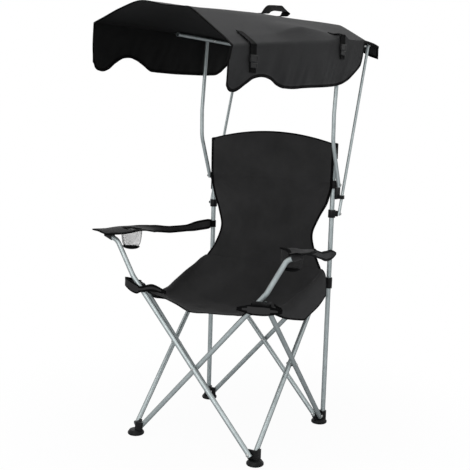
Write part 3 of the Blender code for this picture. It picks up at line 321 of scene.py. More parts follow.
def bent_tube(name, stops, radius, wall, node, bend=0.0):
    """A tube shaped as a bender shapes it: a ring drawn out straight, then spun round each bend."""
    bpy.ops.object.select_all(action='DESELECT')
    aim = (stops[1] - stops[0]).to_track_quat('Z', 'Y').to_euler()
    bpy.ops.mesh.primitive_circle_add(vertices=24, radius=radius, location=stops[0], rotation=aim)
    piece = bpy.context.object
    bpy.ops.object.transform_apply(location=True, rotation=True, scale=True)
    bpy.ops.object.mode_set(mode='EDIT')
    bpy.ops.mesh.select_all(action='SELECT')
    reached = stops[0]
    for before, corner, after in zip(stops, stops[1:], stops[2:]):
        coming, going = (corner - before).normalized(), (after - corner).normalized()
        turn = coming.angle(going)
        room = 0.45 * min((corner - before).length, (after - corner).length)
        reach = min(bend * math.tan(turn / 2), room)
        first = corner - coming * reach
        axis = coming.cross(going).normalized()
        centre = first + axis.cross(coming) * reach / math.tan(turn / 2)
        bpy.ops.mesh.extrude_region_move(TRANSFORM_OT_translate={"value": first - reached})
        bpy.ops.mesh.spin(steps=8, angle=-turn, center=centre, axis=axis)
        reached = corner + going * reach
    bpy.ops.mesh.extrude_region_move(TRANSFORM_OT_translate={"value": stops[-1] - reached})
    bpy.ops.mesh.select_all(action='SELECT')
    bpy.ops.mesh.normals_make_consistent(inside=False)
    bpy.ops.object.mode_set(mode='OBJECT')
    thicken(piece, wall)
    bpy.ops.object.shade_smooth_by_angle(angle=math.radians(50))
    join_pieces([piece], name, enamel, node)
    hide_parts(node)


def leg_line(side_plane, plane, low, high):
    """Both ends of a crossing leg, a little past its pins."""
    if side_plane:
        bottom, top = at(plane, low, FOOT_PIN_Z), at(plane, high, CORNER_Z)
    else:
        bottom, top = at(low, plane, FOOT_PIN_Z), at(high, plane, CORNER_Z)
    past = (top - bottom).normalized() * TUBE_END
    return [bottom - past, top + past]


for node, run in {"back_tube_a": (False, OUTER, -PIN, PIN), "back_tube_b": (False, INNER, PIN, -PIN),
                  "left_tube_a": (True, -OUTER, -PIN, PIN), "left_tube_b": (True, -INNER, PIN, -PIN),
                  "right_tube_a": (True, OUTER, PIN, -PIN), "right_tube_b": (True, INNER, -PIN, PIN)}.items():
    bent_tube(node.replace("tube", "leg"), leg_line(*run), TUBE_R, TUBE_WALL, node)

leg_slope = 2 * PIN / (CORNER_Z - FOOT_PIN_Z)
for node, plane, side in (("front_tube_a", -OUTER, -1), ("front_tube_b", -INNER, 1)):
    foot_end = leg_line(False, plane, -side * PIN, side * PIN)[0]
    bend_x = PIN + leg_slope * (ARM_BEND_Z - CORNER_Z)
    arm = [at(side * x, plane, z) for x, z in ((bend_x, ARM_BEND_Z), ARM_RISE, ARM_TIP)]
    bent_tube(node.replace("tube", "leg"), [foot_end, *arm], TUBE_R, TUBE_WALL, node, ARM_BEND_R)

for side, word in ((-1, "left"), (1, "right")):
    bent_tube(word + "_back_post", [at(side * POST, POST, z) for z in (POST_LOW_Z, POST_TOP_Z)],
              TUBE_R, TUBE_WALL, word + "_post")
    for kind, node, x, radius, line, starts_at_pin in (
            ("upright", "post", MAIN_X, LINK_R, (UPRIGHT_PIN, UPRIGHT_KNEE, UPRIGHT_BEND, RAIL_PIN), True),
            ("rail", "arm", ARM_X, LINK_R, (RAIL_FRONT, RAIL_PIN, RAIL_REAR), False),
            ("stay", "strut", MAIN_X, STRUT_R, (STAY_PIN, RAIL_REAR), True)):
        stops = [at(side * x, y, z) for y, z in line]
        first, last = (stops[1] - stops[0]).normalized(), (stops[-1] - stops[-2]).normalized()
        if starts_at_pin:
            stops[0] = stops[0] - first * radius
        stops[-1] = stops[-1] + last * radius
        bent_tube(f"{word}_canopy_{kind}", stops, radius, LINK_WALL, f"{word}_canopy_{node}",
                  CANOPY_BEND_R)


# ---- Moulded fittings ---------------------------------------------------------------------
# Black nylon mouldings: four flared feet, two front corner joints, two sliders on the posts
# and the canopy's clamps. Each is the CAD form with its edges rounded as a mould leaves them.

moulded, shader, _ = speckled_finish(
    "black_moulded_nylon", 1500, 60, [(0.35, (0.005, 0.005, 0.0055)), (0.70, (0.011, 0.011, 0.0115))],
    (0.36, 0.52), (0.18, 0.0003))
shader.inputs["Specular IOR Level"].default_value = 0.15


MOULD_ROUND = 0.0009


def rounded_copy(node, name, body):
    """A CAD moulding with its corners rounded over."""
    bpy.ops.object.select_all(action='DESELECT')
    piece = bpy.data.objects.new(name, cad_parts[node].data.copy())
    scene.collection.objects.link(piece)
    bpy.context.view_layer.objects.active = piece
    piece.select_set(True)
    bpy.ops.object.mode_set(mode='EDIT')
    bpy.ops.mesh.select_all(action='SELECT')
    bpy.ops.mesh.remove_doubles(threshold=0.00002)
    bpy.ops.mesh.dissolve_limited(angle_limit=math.radians(2))
    bpy.ops.object.mode_set(mode='OBJECT')
    soft = piece.modifiers.new("mould_edges", 'BEVEL')
    soft.width = MOULD_ROUND
    soft.segments = 2
    soft.limit_method = 'ANGLE'
    soft.angle_limit = math.radians(40)
    soft.use_clamp_overlap = True
    bpy.ops.object.modifier_apply(modifier="mould_edges")
    bpy.ops.object.shade_smooth_by_angle(angle=math.radians(40))
    join_pieces([piece], name, moulded, body)
    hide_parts(node)


for node, body in {"rear_left_foot": "left_post", "rear_right_foot": "right_post",
                   "front_left_foot": "front_left_foot", "front_right_foot": "front_right_foot",
                   "front_left_corner": "front_left_corner", "front_right_corner": "front_right_corner",
                   "left_slider": "left_slider", "right_slider": "right_slider",
                   "left_canopy_bracket": "left_post", "right_canopy_bracket": "right_post",
                   "left_strut_bracket": "left_post", "right_strut_bracket": "right_post"}.items():
    rounded_copy(node, node + "_moulding", body)


def set_finish(node, material):
    """Gives a CAD node that stays in view its finish."""
    node_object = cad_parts[node]
    if not node_object.material_slots:
        node_object.data.materials.append(material)
    for slot in node_object.material_slots:
        slot.material = material


for node in ("left_post_cap", "right_post_cap"):
    set_finish(node, moulded)


# ---- Rivets -------------------------------------------------------------------------------
# Bright domed steel rivets: one at every pivot, with a head on each side where two tubes
# cross or where the canopy's tubes join.

bright_steel, shader, _ = speckled_finish(
    "bright_rivet_steel", 3000, 300, [(0.3, (0.36, 0.37, 0.37)), (0.7, (0.54, 0.55, 0.54))],
    (0.18, 0.34), (0.08, 0.0002))
shader.inputs["Metallic"].default_value = 1.0

for node in ("front_cross_rivet", "back_cross_rivet", "left_cross_rivet", "right_cross_rivet",
             "left_arm_rivet", "right_arm_rivet", "left_strut_rivet", "right_strut_rivet"):
    set_finish(node, bright_steel)


PIVOT_HEAD_R, CROSSING_HEAD_R, CLAMP_HEAD_R = 0.0052, 0.0043, 0.0046
HEAD_GAP, HEAD_RISE = 0.0001, 0.46


def rivet_head(under_head, out, radius=PIVOT_HEAD_R):
    """One domed head, its flat side at a point and its dome along a direction."""
    bpy.ops.object.select_all(action='DESELECT')
    bpy.ops.mesh.primitive_uv_sphere_add(segments=24, ring_count=12, radius=radius)
    head = bpy.context.object
    bpy.ops.object.mode_set(mode='EDIT')
    bpy.ops.mesh.select_all(action='SELECT')
    bpy.ops.mesh.bisect(plane_co=(0, 0, 0), plane_no=(0, 0, 1), clear_inner=True, use_fill=True)
    bpy.ops.mesh.select_all(action='SELECT')
    bpy.ops.transform.resize(value=(1, 1, HEAD_RISE))
    bpy.ops.object.mode_set(mode='OBJECT')
    aim = Vector(out).to_track_quat('Z', 'Y').to_matrix().to_4x4()
    head.data.transform(Matrix.Translation(under_head) @ aim)
    bpy.ops.object.shade_smooth_by_angle(angle=math.radians(50))
    return head


# Each pivot: X and Y sign, whether the side tube is the outer one and its fin outside it,
# and the same for the front or back tube, then its height and body.
pivots = [("front_left_foot", -1, -1, (True, False), (False, True), FOOT_PIN_Z, "front_left_foot"),
          ("front_right_foot", 1, -1, (False, True), (True, False), FOOT_PIN_Z, "front_right_foot"),
          ("rear_left_foot", -1, 1, (False, True), (True, False), FOOT_PIN_Z, "left_post"),
          ("rear_right_foot", 1, 1, (True, False), (False, True), FOOT_PIN_Z, "right_post"),
          ("front_left_corner", -1, -1, (False, True), (True, False), CORNER_Z, "front_left_corner"),
          ("front_right_corner", 1, -1, (True, True), (False, True), CORNER_Z, "front_right_corner"),
          ("left_slider", -1, 1, (True, False), (False, True), CORNER_Z, "left_slider"),
          ("right_slider", 1, 1, (False, True), (True, False), CORNER_Z, "right_slider")]
for name, sx, sy, side_kind, end_kind, z, body in pivots:
    heads = []
    for side_plane, (tube_is_outer, fin_outside) in ((True, side_kind), (False, end_kind)):
        away_from_fin = -1 if fin_outside else 1
        under = (OUTER if tube_is_outer else INNER) + away_from_fin * (TUBE_R + HEAD_GAP)
        if side_plane:
            heads.append(rivet_head(at(sx * under, sy * PIN, z), (sx * away_from_fin, 0, 0)))
        else:
            heads.append(rivet_head(at(sx * PIN, sy * under, z), (0, sy * away_from_fin, 0)))
    join_pieces(heads, name + "_rivets", bright_steel, body)

cross_z = (CORNER_Z + FOOT_PIN_Z) / 2
for name, out, body in (("front", (0, -1, 0), "front_tube_b"), ("back", (0, 1, 0), "back_tube_a"),
                        ("left", (-1, 0, 0), "left_tube_b"), ("right", (1, 0, 0), "right_tube_a")):
    out = Vector(out)
    middle = at(0, 0, cross_z)
    join_pieces([rivet_head(middle + out * (OUTER + TUBE_R + HEAD_GAP), out, CROSSING_HEAD_R),
                 rivet_head(middle + out * (INNER - TUBE_R - HEAD_GAP), -out, CROSSING_HEAD_R)],
                name + "_crossing_heads", bright_steel, body)
for side, word in ((-1, "left"), (1, "right")):
    out = Vector((side, 0, 0))
    join_pieces([rivet_head(at(side * (MAIN_X + LINK_R + HEAD_GAP), *UPRIGHT_PIN), out, CLAMP_HEAD_R),
                 rivet_head(at(side * (MAIN_X + STRUT_R + HEAD_GAP), *STAY_PIN), out, CLAMP_HEAD_R)],
                word + "_clamp_rivets", bright_steel, word + "_post")


# ---- Back ---------------------------------------------------------------------------------
# One piece of black woven polyester hung on the two post tops by sewn pockets, drawn in at
# the waist, with a tape binding sewn round its edges and a seam across it below the pockets.

CLOTH, TAPE_W = 0.0016, 0.0088
PLAIN_SHARE = 0.62          # plain cloth's thickness, as a share of its taped edge's
CLOTH_STEP = 0.0055


def blend(table, at_value):
    """Reads a table on a smooth curve that never overshoots its values."""
    if at_value <= table[0][0]:
        return table[0][1]
    if at_value >= table[-1][0]:
        return table[-1][1]
    slopes = [(b[1] - a[1]) / (b[0] - a[0]) for a, b in zip(table, table[1:])]
    tangents = [slopes[0]]
    for before, after in zip(slopes, slopes[1:]):
        tangents.append(2 * before * after / (before + after) if before * after > 0 else 0.0)
    tangents.append(slopes[-1])
    for (a, b, m0, m1) in zip(table, table[1:], tangents, tangents[1:]):
        if at_value <= b[0]:
            width = b[0] - a[0]
            t = (at_value - a[0]) / width
            return ((2 * t ** 3 - 3 * t * t + 1) * a[1] + (t ** 3 - 2 * t * t + t) * width * m0
                    + (3 * t * t - 2 * t ** 3) * b[1] + (t ** 3 - t * t) * width * m1)


def spaced(low, high, step, low_tape=True, high_tape=True):
    """Lines across a sheet: even steps, with three close ones where a tape ends."""
    first = [low, low + TAPE_W / 2, low + TAPE_W] if low_tape else [low]
    last = [high - TAPE_W, high - TAPE_W / 2, high] if high_tape else [high]
    inner_low = first[-1] + (0.0006 if low_tape else 0)
    inner_high = last[0] - (0.0006 if high_tape else 0)
    count = max(1, round((inner_high - inner_low) / step))
    inner = [inner_low + (inner_high - inner_low) * i / count for i in range(count + 1)]
    return first[:len(first) if low_tape else 0] + inner + last[0 if high_tape else len(last):]


def dent(value, middle, width):
    """A smooth hump of height 1 at the middle."""
    return math.exp(-((value - middle) / width) ** 2)


def pushed_along_normals(rows, amount):
    """Moves each point of a grid along the sheet's normal by amount(i, j), in metres."""
    moved = []
    for j, row in enumerate(rows):
        new_row = []
        for i, p in enumerate(row):
            across = row[min(i + 1, len(row) - 1)] - row[max(i - 1, 0)]
            along = rows[min(j + 1, len(rows) - 1)][i] - rows[max(j - 1, 0)][i]
            normal = across.cross(along)
            new_row.append(p + (normal.normalized() if normal.length > 1e-12 else Vector()) * amount(i, j))
        moved.append(new_row)
    return moved


def cloth_sheet(name, rows, taped, looks, zero=(None, None), thickness=CLOTH, flip=False, slant=None):
    """Lays a grid of cloth on rows of points. taped says which of the first column, last
    column, first row and last row are bound with tape; the last can be a set of columns.
    slant gives each row how far its two ends stretch the tape. looks are cloth and tape, and
    may go on with those of the other face. Keeps UV in metres on the piece."""
    bpy.ops.object.select_all(action='DESELECT')
    nu, nv = len(rows[0]), len(rows)
    bpy.ops.mesh.primitive_grid_add(x_subdivisions=nu - 1, y_subdivisions=nv - 1, size=2)
    piece = bpy.context.object
    piece.name = name
    mesh = piece.data
    mesh.name = name
    zero_i = nu // 2 if zero[0] is None else zero[0]
    zero_j = nv // 2 if zero[1] is None else zero[1]
    us = [[0.0] for row in rows]
    for j, row in enumerate(rows):
        for a, b in zip(row, row[1:]):
            us[j].append(us[j][-1] + (b - a).length)
    vs = [[0.0] * nu]
    for before, row in zip(rows, rows[1:]):
        vs.append([vs[-1][i] + (row[i] - before[i]).length for i in range(nu)])
    spot = {}
    for vertex in mesh.vertices:
        spot[vertex.index] = (round((vertex.co.x + 1) / 2 * (nu - 1)),
                              round((vertex.co.y + 1) / 2 * (nv - 1)))
    for loop in mesh.loops:
        i, j = spot[loop.vertex_index]
        mesh.uv_layers.active.data[loop.index].uv = (us[j][i] - us[j][zero_i], vs[j][i] - vs[zero_j][i])
    near = {}
    for index, (i, j) in spot.items():
        mesh.vertices[index].co = rows[j][i]
        ways = []
        low_slant, high_slant = slant[j] if slant else (1, 1)
        if taped[0]:
            ways.append((us[j][i] / low_slant, vs[j][i]))
        if taped[1]:
            ways.append(((us[j][-1] - us[j][i]) / high_slant, vs[j][i]))
        if taped[2]:
            ways.append((vs[j][i], us[j][i]))
        if taped[3] is True or taped[3] and i in taped[3]:
            ways.append((vs[-1][i] - vs[j][i], us[j][i]))
        near[index] = min(ways) if ways else (1.0, us[j][i])
    for at_place, attribute_name in enumerate(("edge", "along")):
        attribute = mesh.attributes.new(attribute_name, 'FLOAT', 'POINT')
        attribute.data.foreach_set("value", [near[v][at_place] for v in range(len(mesh.vertices))])
    group = piece.vertex_groups.new(name="thick")
    is_tape = [near[v][0] <= TAPE_W * 1.04 for v in range(len(mesh.vertices))]
    group.add([v for v, tape in enumerate(is_tape) if tape], 1.0, 'REPLACE')
    group.add([v for v, tape in enumerate(is_tape) if not tape], PLAIN_SHARE, 'REPLACE')
    for look in looks:
        mesh.materials.append(look)
    for face in mesh.polygons:
        face.material_index = 1 if all(is_tape[v] for v in face.vertices) else 0
    if flip:
        mesh.flip_normals()
    thick = piece.modifiers.new("cloth", 'SOLIDIFY')
    thick.thickness = thickness / PLAIN_SHARE
    thick.offset = 0
    thick.vertex_group = "thick"
    thick.material_offset = len(looks) - 2
    bpy.ops.object.modifier_apply(modifier="cloth")
    bpy.ops.object.shade_smooth_by_angle(angle=math.radians(60))
    return piece


def flat_area(rows):
    """The area of a grid of points, and its greatest width and length."""
    area = sum(((b - a).cross(c - a).length + (b - d).cross(c - d).length) / 2
               for row, following in zip(rows, rows[1:])
               for a, b, c, d in zip(row, row[1:], following, following[1:]))
    width = max(sum((b - a).length for a, b in zip(row, row[1:])) for row in rows)
    length = max(sum((rows[j + 1][i] - rows[j][i]).length for j in range(len(rows) - 1))
                 for i in range(len(rows[0])))
    return area, width, length


# The weave: threads over and under each other, read from the piece's UV map in metres.
weave = bpy.data.node_groups.new("plain_weave", 'ShaderNodeTree')
weave.interface.new_socket("UV", in_out='INPUT', socket_type='NodeSocketVector')
weave.interface.new_socket("Threads per metre", in_out='INPUT', socket_type='NodeSocketFloat')
weave.interface.new_socket("Height", in_out='OUTPUT', socket_type='NodeSocketFloat')
weave_in = weave.nodes.new("NodeGroupInput")
weave_out = weave.nodes.new("NodeGroupOutput")


def group_math(tree, operation, *inputs):
    """A Math node whose inputs are numbers or sockets; returns its output."""
    node = tree.nodes.new("ShaderNodeMath")
    node.operation = operation
    for socket, value in zip(node.inputs, inputs):
        if isinstance(value, (int, float)):
            socket.default_value = value
        else:
            tree.links.new(value, socket)
    return node.outputs[0]


weave_split = weave.nodes.new("ShaderNodeSeparateXYZ")
weave.links.new(weave_in.outputs["UV"], weave_split.inputs[0])
turns = group_math(weave, 'MULTIPLY', weave_in.outputs["Threads per metre"], math.pi)
warp = group_math(weave, 'SINE', group_math(weave, 'MULTIPLY', weave_split.outputs["X"], turns))
weft = group_math(weave, 'SINE', group_math(weave, 'MULTIPLY', weave_split.outputs["Y"], turns))
over = group_math(weave, 'GREATER_THAN', group_math(weave, 'MULTIPLY', warp, weft), 0.0)
warp_high = group_math(weave, 'MULTIPLY', group_math(weave, 'ABSOLUTE', warp), over)
weft_high = group_math(weave, 'MULTIPLY', group_math(weave, 'ABSOLUTE', weft),
                       group_math(weave, 'SUBTRACT', 1.0, over))
weave.links.new(group_math(weave, 'ADD', warp_high, weft_high), weave_out.inputs["Height"])


def make_cloth(name, dark, middle, light, sheen, roughness, threads, mottle):
    """Woven polyester: a weave in relief, darker where its threads dip as painted shade, under slow patches of
    painted sheen and dust drawn out front to rear.
    """
    material, nodes, links, shader = new_material(name)
    uv = nodes.new("ShaderNodeUVMap")
    object_place = nodes.new("ShaderNodeTexCoord").outputs["Object"]
    stretch = nodes.new("ShaderNodeMapping")
    stretch.inputs["Scale"].default_value = (1.0, 0.45, 1.0)
    links.new(object_place, stretch.inputs["Vector"])
    dust_and_sheen = add_speckle(nodes, links, stretch.outputs["Vector"], 700, mottle)
    yarn = nodes.new("ShaderNodeGroup")
    yarn.node_tree = weave
    yarn.inputs["Threads per metre"].default_value = threads
    links.new(uv.outputs["UV"], yarn.inputs["UV"])
    # Painted sheen and dust: slow lighter and darker patches of tone, drawn out front to rear.
    slow = add_ramp(nodes, links, dust_and_sheen.outputs["Patch"], [(0.32, dark), (0.50, middle), (0.70, light)])
    thread_tone = nodes.new("ShaderNodeMix")
    thread_tone.data_type = 'RGBA'
    thread_tone.blend_type = 'MULTIPLY'
    # Painted shade: the weave is darker where its threads dip under the crossing ones.
    shade = add_ramp(nodes, links, yarn.outputs["Height"], [(0.0, (0.62, 0.62, 0.62)), (1.0, (1.06, 1.06, 1.06))])
    thread_tone.inputs["Factor"].default_value = 0.6
    links.new(slow.outputs["Color"], thread_tone.inputs[6])
    links.new(shade.outputs["Color"], thread_tone.inputs[7])
    links.new(thread_tone.outputs[2], shader.inputs["Base Color"])
    links.new(add_range(nodes, links, dust_and_sheen.outputs["Height"], roughness - 0.08, roughness + 0.08),
              shader.inputs["Roughness"])
    shader.inputs["Sheen Weight"].default_value = sheen
    shader.inputs["Sheen Roughness"].default_value = 0.45
    shader.inputs["Specular IOR Level"].default_value = 0.10
    relief = nodes.new("ShaderNodeMath")
    relief.operation = 'MULTIPLY_ADD'
    relief.inputs[1].default_value = 0.25
    links.new(dust_and_sheen.outputs["Height"], relief.inputs[0])
    links.new(yarn.outputs["Height"], relief.inputs[2])
    add_bump(nodes, links, relief.outputs[0], shader, 0.35, 0.00022)
    return material


def make_tape(name, base):
    """Binding tape and webbing: ribs across it, and two rows of stitches along its edge."""
    material, nodes, links, shader = new_material(name)
    distance = nodes.new("ShaderNodeAttribute")
    distance.attribute_name = "edge"
    run = nodes.new("ShaderNodeAttribute")
    run.attribute_name = "along"
    tree = material.node_tree
    ribs = group_math(tree, 'ABSOLUTE', group_math(
        tree, 'SINE', group_math(tree, 'MULTIPLY', run.outputs["Fac"], math.pi / 0.0011)))
    from_row = group_math(tree, 'ABSOLUTE', group_math(tree, 'SUBTRACT', distance.outputs["Fac"], 0.0050))
    in_row = group_math(tree, 'LESS_THAN', from_row, 0.00035)
    stitch = group_math(tree, 'FRACT', group_math(tree, 'DIVIDE', run.outputs["Fac"], 0.0032))
    thread = group_math(tree, 'MULTIPLY', in_row, group_math(tree, 'LESS_THAN', stitch, 0.70))
    tone = add_ramp(nodes, links, thread, [(0.0, base), (1.0, tuple(c * 2.6 + 0.004 for c in base))])
    links.new(tone.outputs["Color"], shader.inputs["Base Color"])
    links.new(add_range(nodes, links, ribs, 0.60, 0.78), shader.inputs["Roughness"])
    shader.inputs["Specular IOR Level"].default_value = 0.05
    add_bump(nodes, links, group_math(tree, 'ADD', ribs, group_math(tree, 'MULTIPLY', thread, 1.6)),
             shader, 0.4, 0.0003)
    return material


seat_cloth = make_cloth("black_woven_polyester", (0.0300, 0.0296, 0.0296), (0.0370, 0.0363, 0.0363),
                        (0.045, 0.0440, 0.0440), 0.06, 0.72, 1700, 9)
black_tape = make_tape("black_binding_tape", (0.0018, 0.0018, 0.0019))

BACK_HALF_W = [(0.545, 0.226), (0.590, 0.200), (0.655, 0.181), (0.710, 0.198), (0.770, 0.226),
               (0.830, 0.238), (0.955, 0.240)]
BACK_SIDE_IN = [(0.545, 0.0352), (0.590, 0.0242), (0.660, 0.0162), (0.760, 0.0)]
BACK_MID_Y = [(0.545, 0.185), (0.600, 0.205), (0.680, 0.222), (0.800, 0.232), (0.955, 0.2246)]
BACK_LOW_Z, BACK_TOP_Z, BACK_ARCH = 0.5420, 0.9611, 0.034
BACK_SIDE_Y, BACK_HALF_RUN, BACK_SEAM_Z = 0.2201, 0.240, 0.838

back_runs = spaced(0, BACK_HALF_RUN * 2, CLOTH_STEP)
back_climbs = spaced(0, BACK_TOP_Z - BACK_LOW_Z, CLOTH_STEP, low_tape=False)
back_rows = []
for climb in back_climbs:
    z = BACK_LOW_Z + climb
    share_up = climb / (BACK_TOP_Z - BACK_LOW_Z)
    arch = BACK_ARCH * max(0.0, (share_up - 0.55) / 0.45) ** 1.5
    half_w, side_y, mid_y = blend(BACK_HALF_W, z), BACK_SIDE_Y - blend(BACK_SIDE_IN, z), blend(BACK_MID_Y, z)
    row = []
    for run in back_runs:
        share = run / BACK_HALF_RUN - 1
        row.append(at(half_w * share, mid_y + (side_y - mid_y) * share * share,
                      z + arch * (1 - share * share)))
    back_rows.append(row)


def back_folds(i, j):
    """How far the back's cloth stands off its smooth shape, toward the sitter."""
    share, z = back_runs[i] / BACK_HALF_RUN - 1, BACK_LOW_Z + back_climbs[j]
    free = min(1.0, (1 - abs(share)) / 0.12) * min(1.0, (z - BACK_LOW_Z) / 0.04)
    seam = (0.0016 * dent(z, BACK_SEAM_Z + 0.005, 0.0022)
            - 0.0034 * dent(z, BACK_SEAM_Z - 0.005, 0.006))
    pulls = 0
    for side in (-1, 1):
        for reach, lean, width, height in ((0.30, 0.9, 0.035, 0.0070), (0.52, 1.6, 0.045, 0.0060)):
            line_x = side * (1 - (BACK_SEAM_Z - z) * lean * reach / 0.10)
            if z < BACK_SEAM_Z:
                pulls += height * dent(share, line_x, width * 2) * dent(z, BACK_SEAM_Z - 0.030, 0.038)
    waist = 0.0030 * dent(z, 0.650, 0.05) * (dent(abs(share), 0.72, 0.10) - dent(abs(share), 0.52, 0.10))
    slow = 0.0035 * noise.noise(Vector((share * 2.1 + 4, z * 7.0, 0.3)))
    small = 0.0009 * noise.noise(Vector((share * 7 + 11, z * 24, 2.7)))
    return -(seam + free * (pulls + waist + slow + small))


back_rows = pushed_along_normals(back_rows, back_folds)
back = cloth_sheet("back_cloth", back_rows, (True, True, False, True), (seat_cloth, black_tape),
                   zero=(None, 0))
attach(back, "left_post")
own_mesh(back)
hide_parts("back_panel")


def select_faces(piece, wanted):
    """Opens a piece for editing with only the wanted faces selected."""
    bpy.ops.object.mode_set(mode='EDIT')
    bpy.ops.mesh.select_all(action='DESELECT')
    bpy.ops.object.mode_set(mode='OBJECT')
    for face in piece.data.polygons:
        face.select = wanted(face)
    bpy.ops.object.mode_set(mode='EDIT')


POCKET_R, POCKET_H, POCKET_Z, POCKET_WALL = 0.0120, 0.0500, 0.9368, 0.0012
for side, word in ((-1, "left"), (1, "right")):
    bpy.ops.object.select_all(action='DESELECT')
    bpy.ops.mesh.primitive_cylinder_add(vertices=32, radius=POCKET_R, depth=POCKET_H, end_fill_type='NGON',
                                        location=at(side * POST, POST, POCKET_Z))
    pocket = bpy.context.object
    bpy.ops.object.transform_apply(location=True, rotation=True, scale=True)
    select_faces(pocket, lambda face: face.normal.z > 0.5)
    bpy.ops.mesh.inset(thickness=0.0022, depth=0.0016)
    bpy.ops.mesh.inset(thickness=0.0045, depth=0.0010)
    select_faces(pocket, lambda face: face.normal.z < -0.5)
    bpy.ops.mesh.delete(type='FACE')
    bpy.ops.mesh.select_all(action='SELECT')
    bpy.ops.mesh.subdivide(number_cuts=2)
    bpy.ops.object.mode_set(mode='OBJECT')
    thicken(pocket, POCKET_WALL)
    bpy.ops.object.shade_smooth_by_angle(angle=math.radians(50))
    join_pieces([pocket], word + "_post_pocket", black_tape, word + "_post")


# ---- Seat ---------------------------------------------------------------------------------
# The same cloth, slung between the four corner fittings: hollow along the middle, crested
# over the side legs and hanging outside them as a skirt, with tape on its free edges.

SEAT_FRONT_Y, SEAT_REAR_Y = -0.2275, 0.1850
SEAT_CENTRE = [(-0.2275, 0.448), (-0.150, 0.427), (-0.060, 0.409), (0.020, 0.410), (0.090, 0.445),
               (0.140, 0.492), (0.185, 0.545)]
CREST_X = [(-0.2275, 0.1972), (-0.205, 0.1976), (-0.180, 0.200), (-0.120, 0.211), (-0.060, 0.219),
           (0.020, 0.229), (0.100, 0.236), (0.160, 0.236), (0.185, 0.226)]
CREST_Z = [(-0.2275, 0.4970), (-0.205, 0.4970), (-0.180, 0.491), (-0.140, 0.472), (-0.100, 0.461),
           (-0.050, 0.466), (0.0, 0.484), (0.060, 0.502), (0.120, 0.519), (0.160, 0.534), (0.185, 0.545)]
SKIRT_X = [(-0.2275, 0.1973), (-0.205, 0.1978), (-0.180, 0.2035), (-0.150, 0.230), (-0.120, 0.245),
           (-0.080, 0.2485), (0.185, 0.2485)]
SKIRT_Z = [(-0.2275, 0.4955), (-0.205, 0.4955), (-0.180, 0.484), (-0.147, 0.451), (-0.100, 0.431),
           (-0.072, 0.424), (-0.020, 0.412), (0.027, 0.404), (0.050, 0.410), (0.128, 0.430), (0.185, 0.458)]
FRONT_EDGE_LIFT = [(-0.197, 0), (-0.125, 0.012), (-0.075, 0.005), (-0.021, -0.010), (0.050, -0.005),
                   (0.130, -0.008), (0.162, -0.013), (0.197, 0)]


def seat_point(run, y):
    """A point of the seat at a run from -1 to 1 across the hollow, and on to 2 down a skirt."""
    side, run = (-1 if run < 0 else 1), abs(run)
    crest_x, crest_z, low = blend(CREST_X, y), blend(CREST_Z, y), blend(SEAT_CENTRE, y)
    edge_x, edge_z = blend(SKIRT_X, y), blend(SKIRT_Z, y)
    rise, drop = crest_z - low, edge_z - crest_z
    x = blend([(0, 0), (1, crest_x), (1.5, crest_x + (edge_x - crest_x) * 0.88), (2, edge_x)], run)
    z = blend([(0, low), (0.22, low + rise * 0.026), (0.44, low + rise * 0.139), (0.66, low + rise * 0.369),
               (0.85, low + rise * 0.677), (1, crest_z), (1.5, crest_z + drop * 0.35), (2, edge_z)], run)
    return Vector((side * x, y, z + blend(FRONT_EDGE_LIFT, side * x) * dent(y, SEAT_FRONT_Y, 0.06)))


hollow_runs = [i / 26 for i in range(27)]


def seat_grid(ys):
    rows = []
    for y in ys:
        drop = max(0.004, (blend(CREST_Z, y) - blend(SKIRT_Z, y)))
        tape = min(0.45, TAPE_W / drop)
        ends = [2 - tape - 0.02, 2 - tape, 2 - tape / 2, 2.0]
        skirt = [1 + (ends[0] - 1) * (i + 1) / 10 for i in range(9)] + ends
        runs = [-run for run in reversed(hollow_runs[1:] + skirt)] + hollow_runs + skirt
        rows.append([at(*seat_point(run, y)) for run in runs])
    return rows, runs


def seat_folds(rows, runs, ys):
    def fold(i, j):
        run, y = runs[i], ys[j]
        x = rows[j][i].x
        inside = min(1.0, max(0.0, (1 - abs(run)) / 0.10))
        from_seams = min(1.0, max(0.0, (SEAT_REAR_Y - 0.0005 - y) / 0.03))
        near_front = min(1.0, (y - SEAT_FRONT_Y) / 0.03)
        pulls = 0
        for side in (-1, 1):
            for slope, width, height in ((0.55, 0.012, 0.0050), (0.95, 0.016, 0.0040), (1.75, 0.018, 0.0035)):
                distance = (y + 0.215) - (0.197 - side * x) * slope
                reach = math.hypot(side * x - 0.197, y + 0.215)
                pulls += height * dent(distance, 0, width * (1 + 4 * reach)) * dent(reach, 0.10, 0.10)
        lap = (0.0024 * dent(y, 0.118, 0.012) * dent(x, -0.03, 0.15)
               - 0.0018 * dent(y, 0.095, 0.014) * dent(x, 0.02, 0.14))
        slow = 0.0050 * noise.noise(Vector((x * 7 + 1.3, y * 6, 7.1)))
        small = 0.0010 * noise.noise(Vector((x * 26, y * 19 + 3, 1.9)))
        crest = (0.0014 * noise.noise(Vector((y * 10, 5.5 * (1 if run > 0 else -1), 0)))
                 * min(1.0, max(0.0, abs(run) - 0.9) / 0.3))
        return (inside * near_front * (pulls + lap + slow + small) * from_seams
                + crest * from_seams * min(1.0, (y - SEAT_FRONT_Y) / 0.06))
    return fold


skirt_columns = {i for i, run in enumerate(seat_grid([0])[1]) if abs(run) > 1.04}
for name, body, ys, taped, zero_j, held_by in (
        ("seat_rear_cloth", "seat_rear", spaced(0, SEAT_REAR_Y, CLOTH_STEP, False, True),
         (True, True, False, skirt_columns), 0, ["left_slider", "right_slider"]),
        ("seat_front_cloth", "seat_front", spaced(SEAT_FRONT_Y, 0, CLOTH_STEP, True, False),
         (True, True, True, False), -1, ["front_left_corner", "front_right_corner"])):
    rows, runs = seat_grid(ys)
    rows = pushed_along_normals(rows, seat_folds(rows, runs, ys))
    area, width, length = flat_area(rows)
    half = cloth_sheet(name, rows, taped, (seat_cloth, black_tape), zero=(None, zero_j))
    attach(half, body)
    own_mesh(half)
    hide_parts(body)


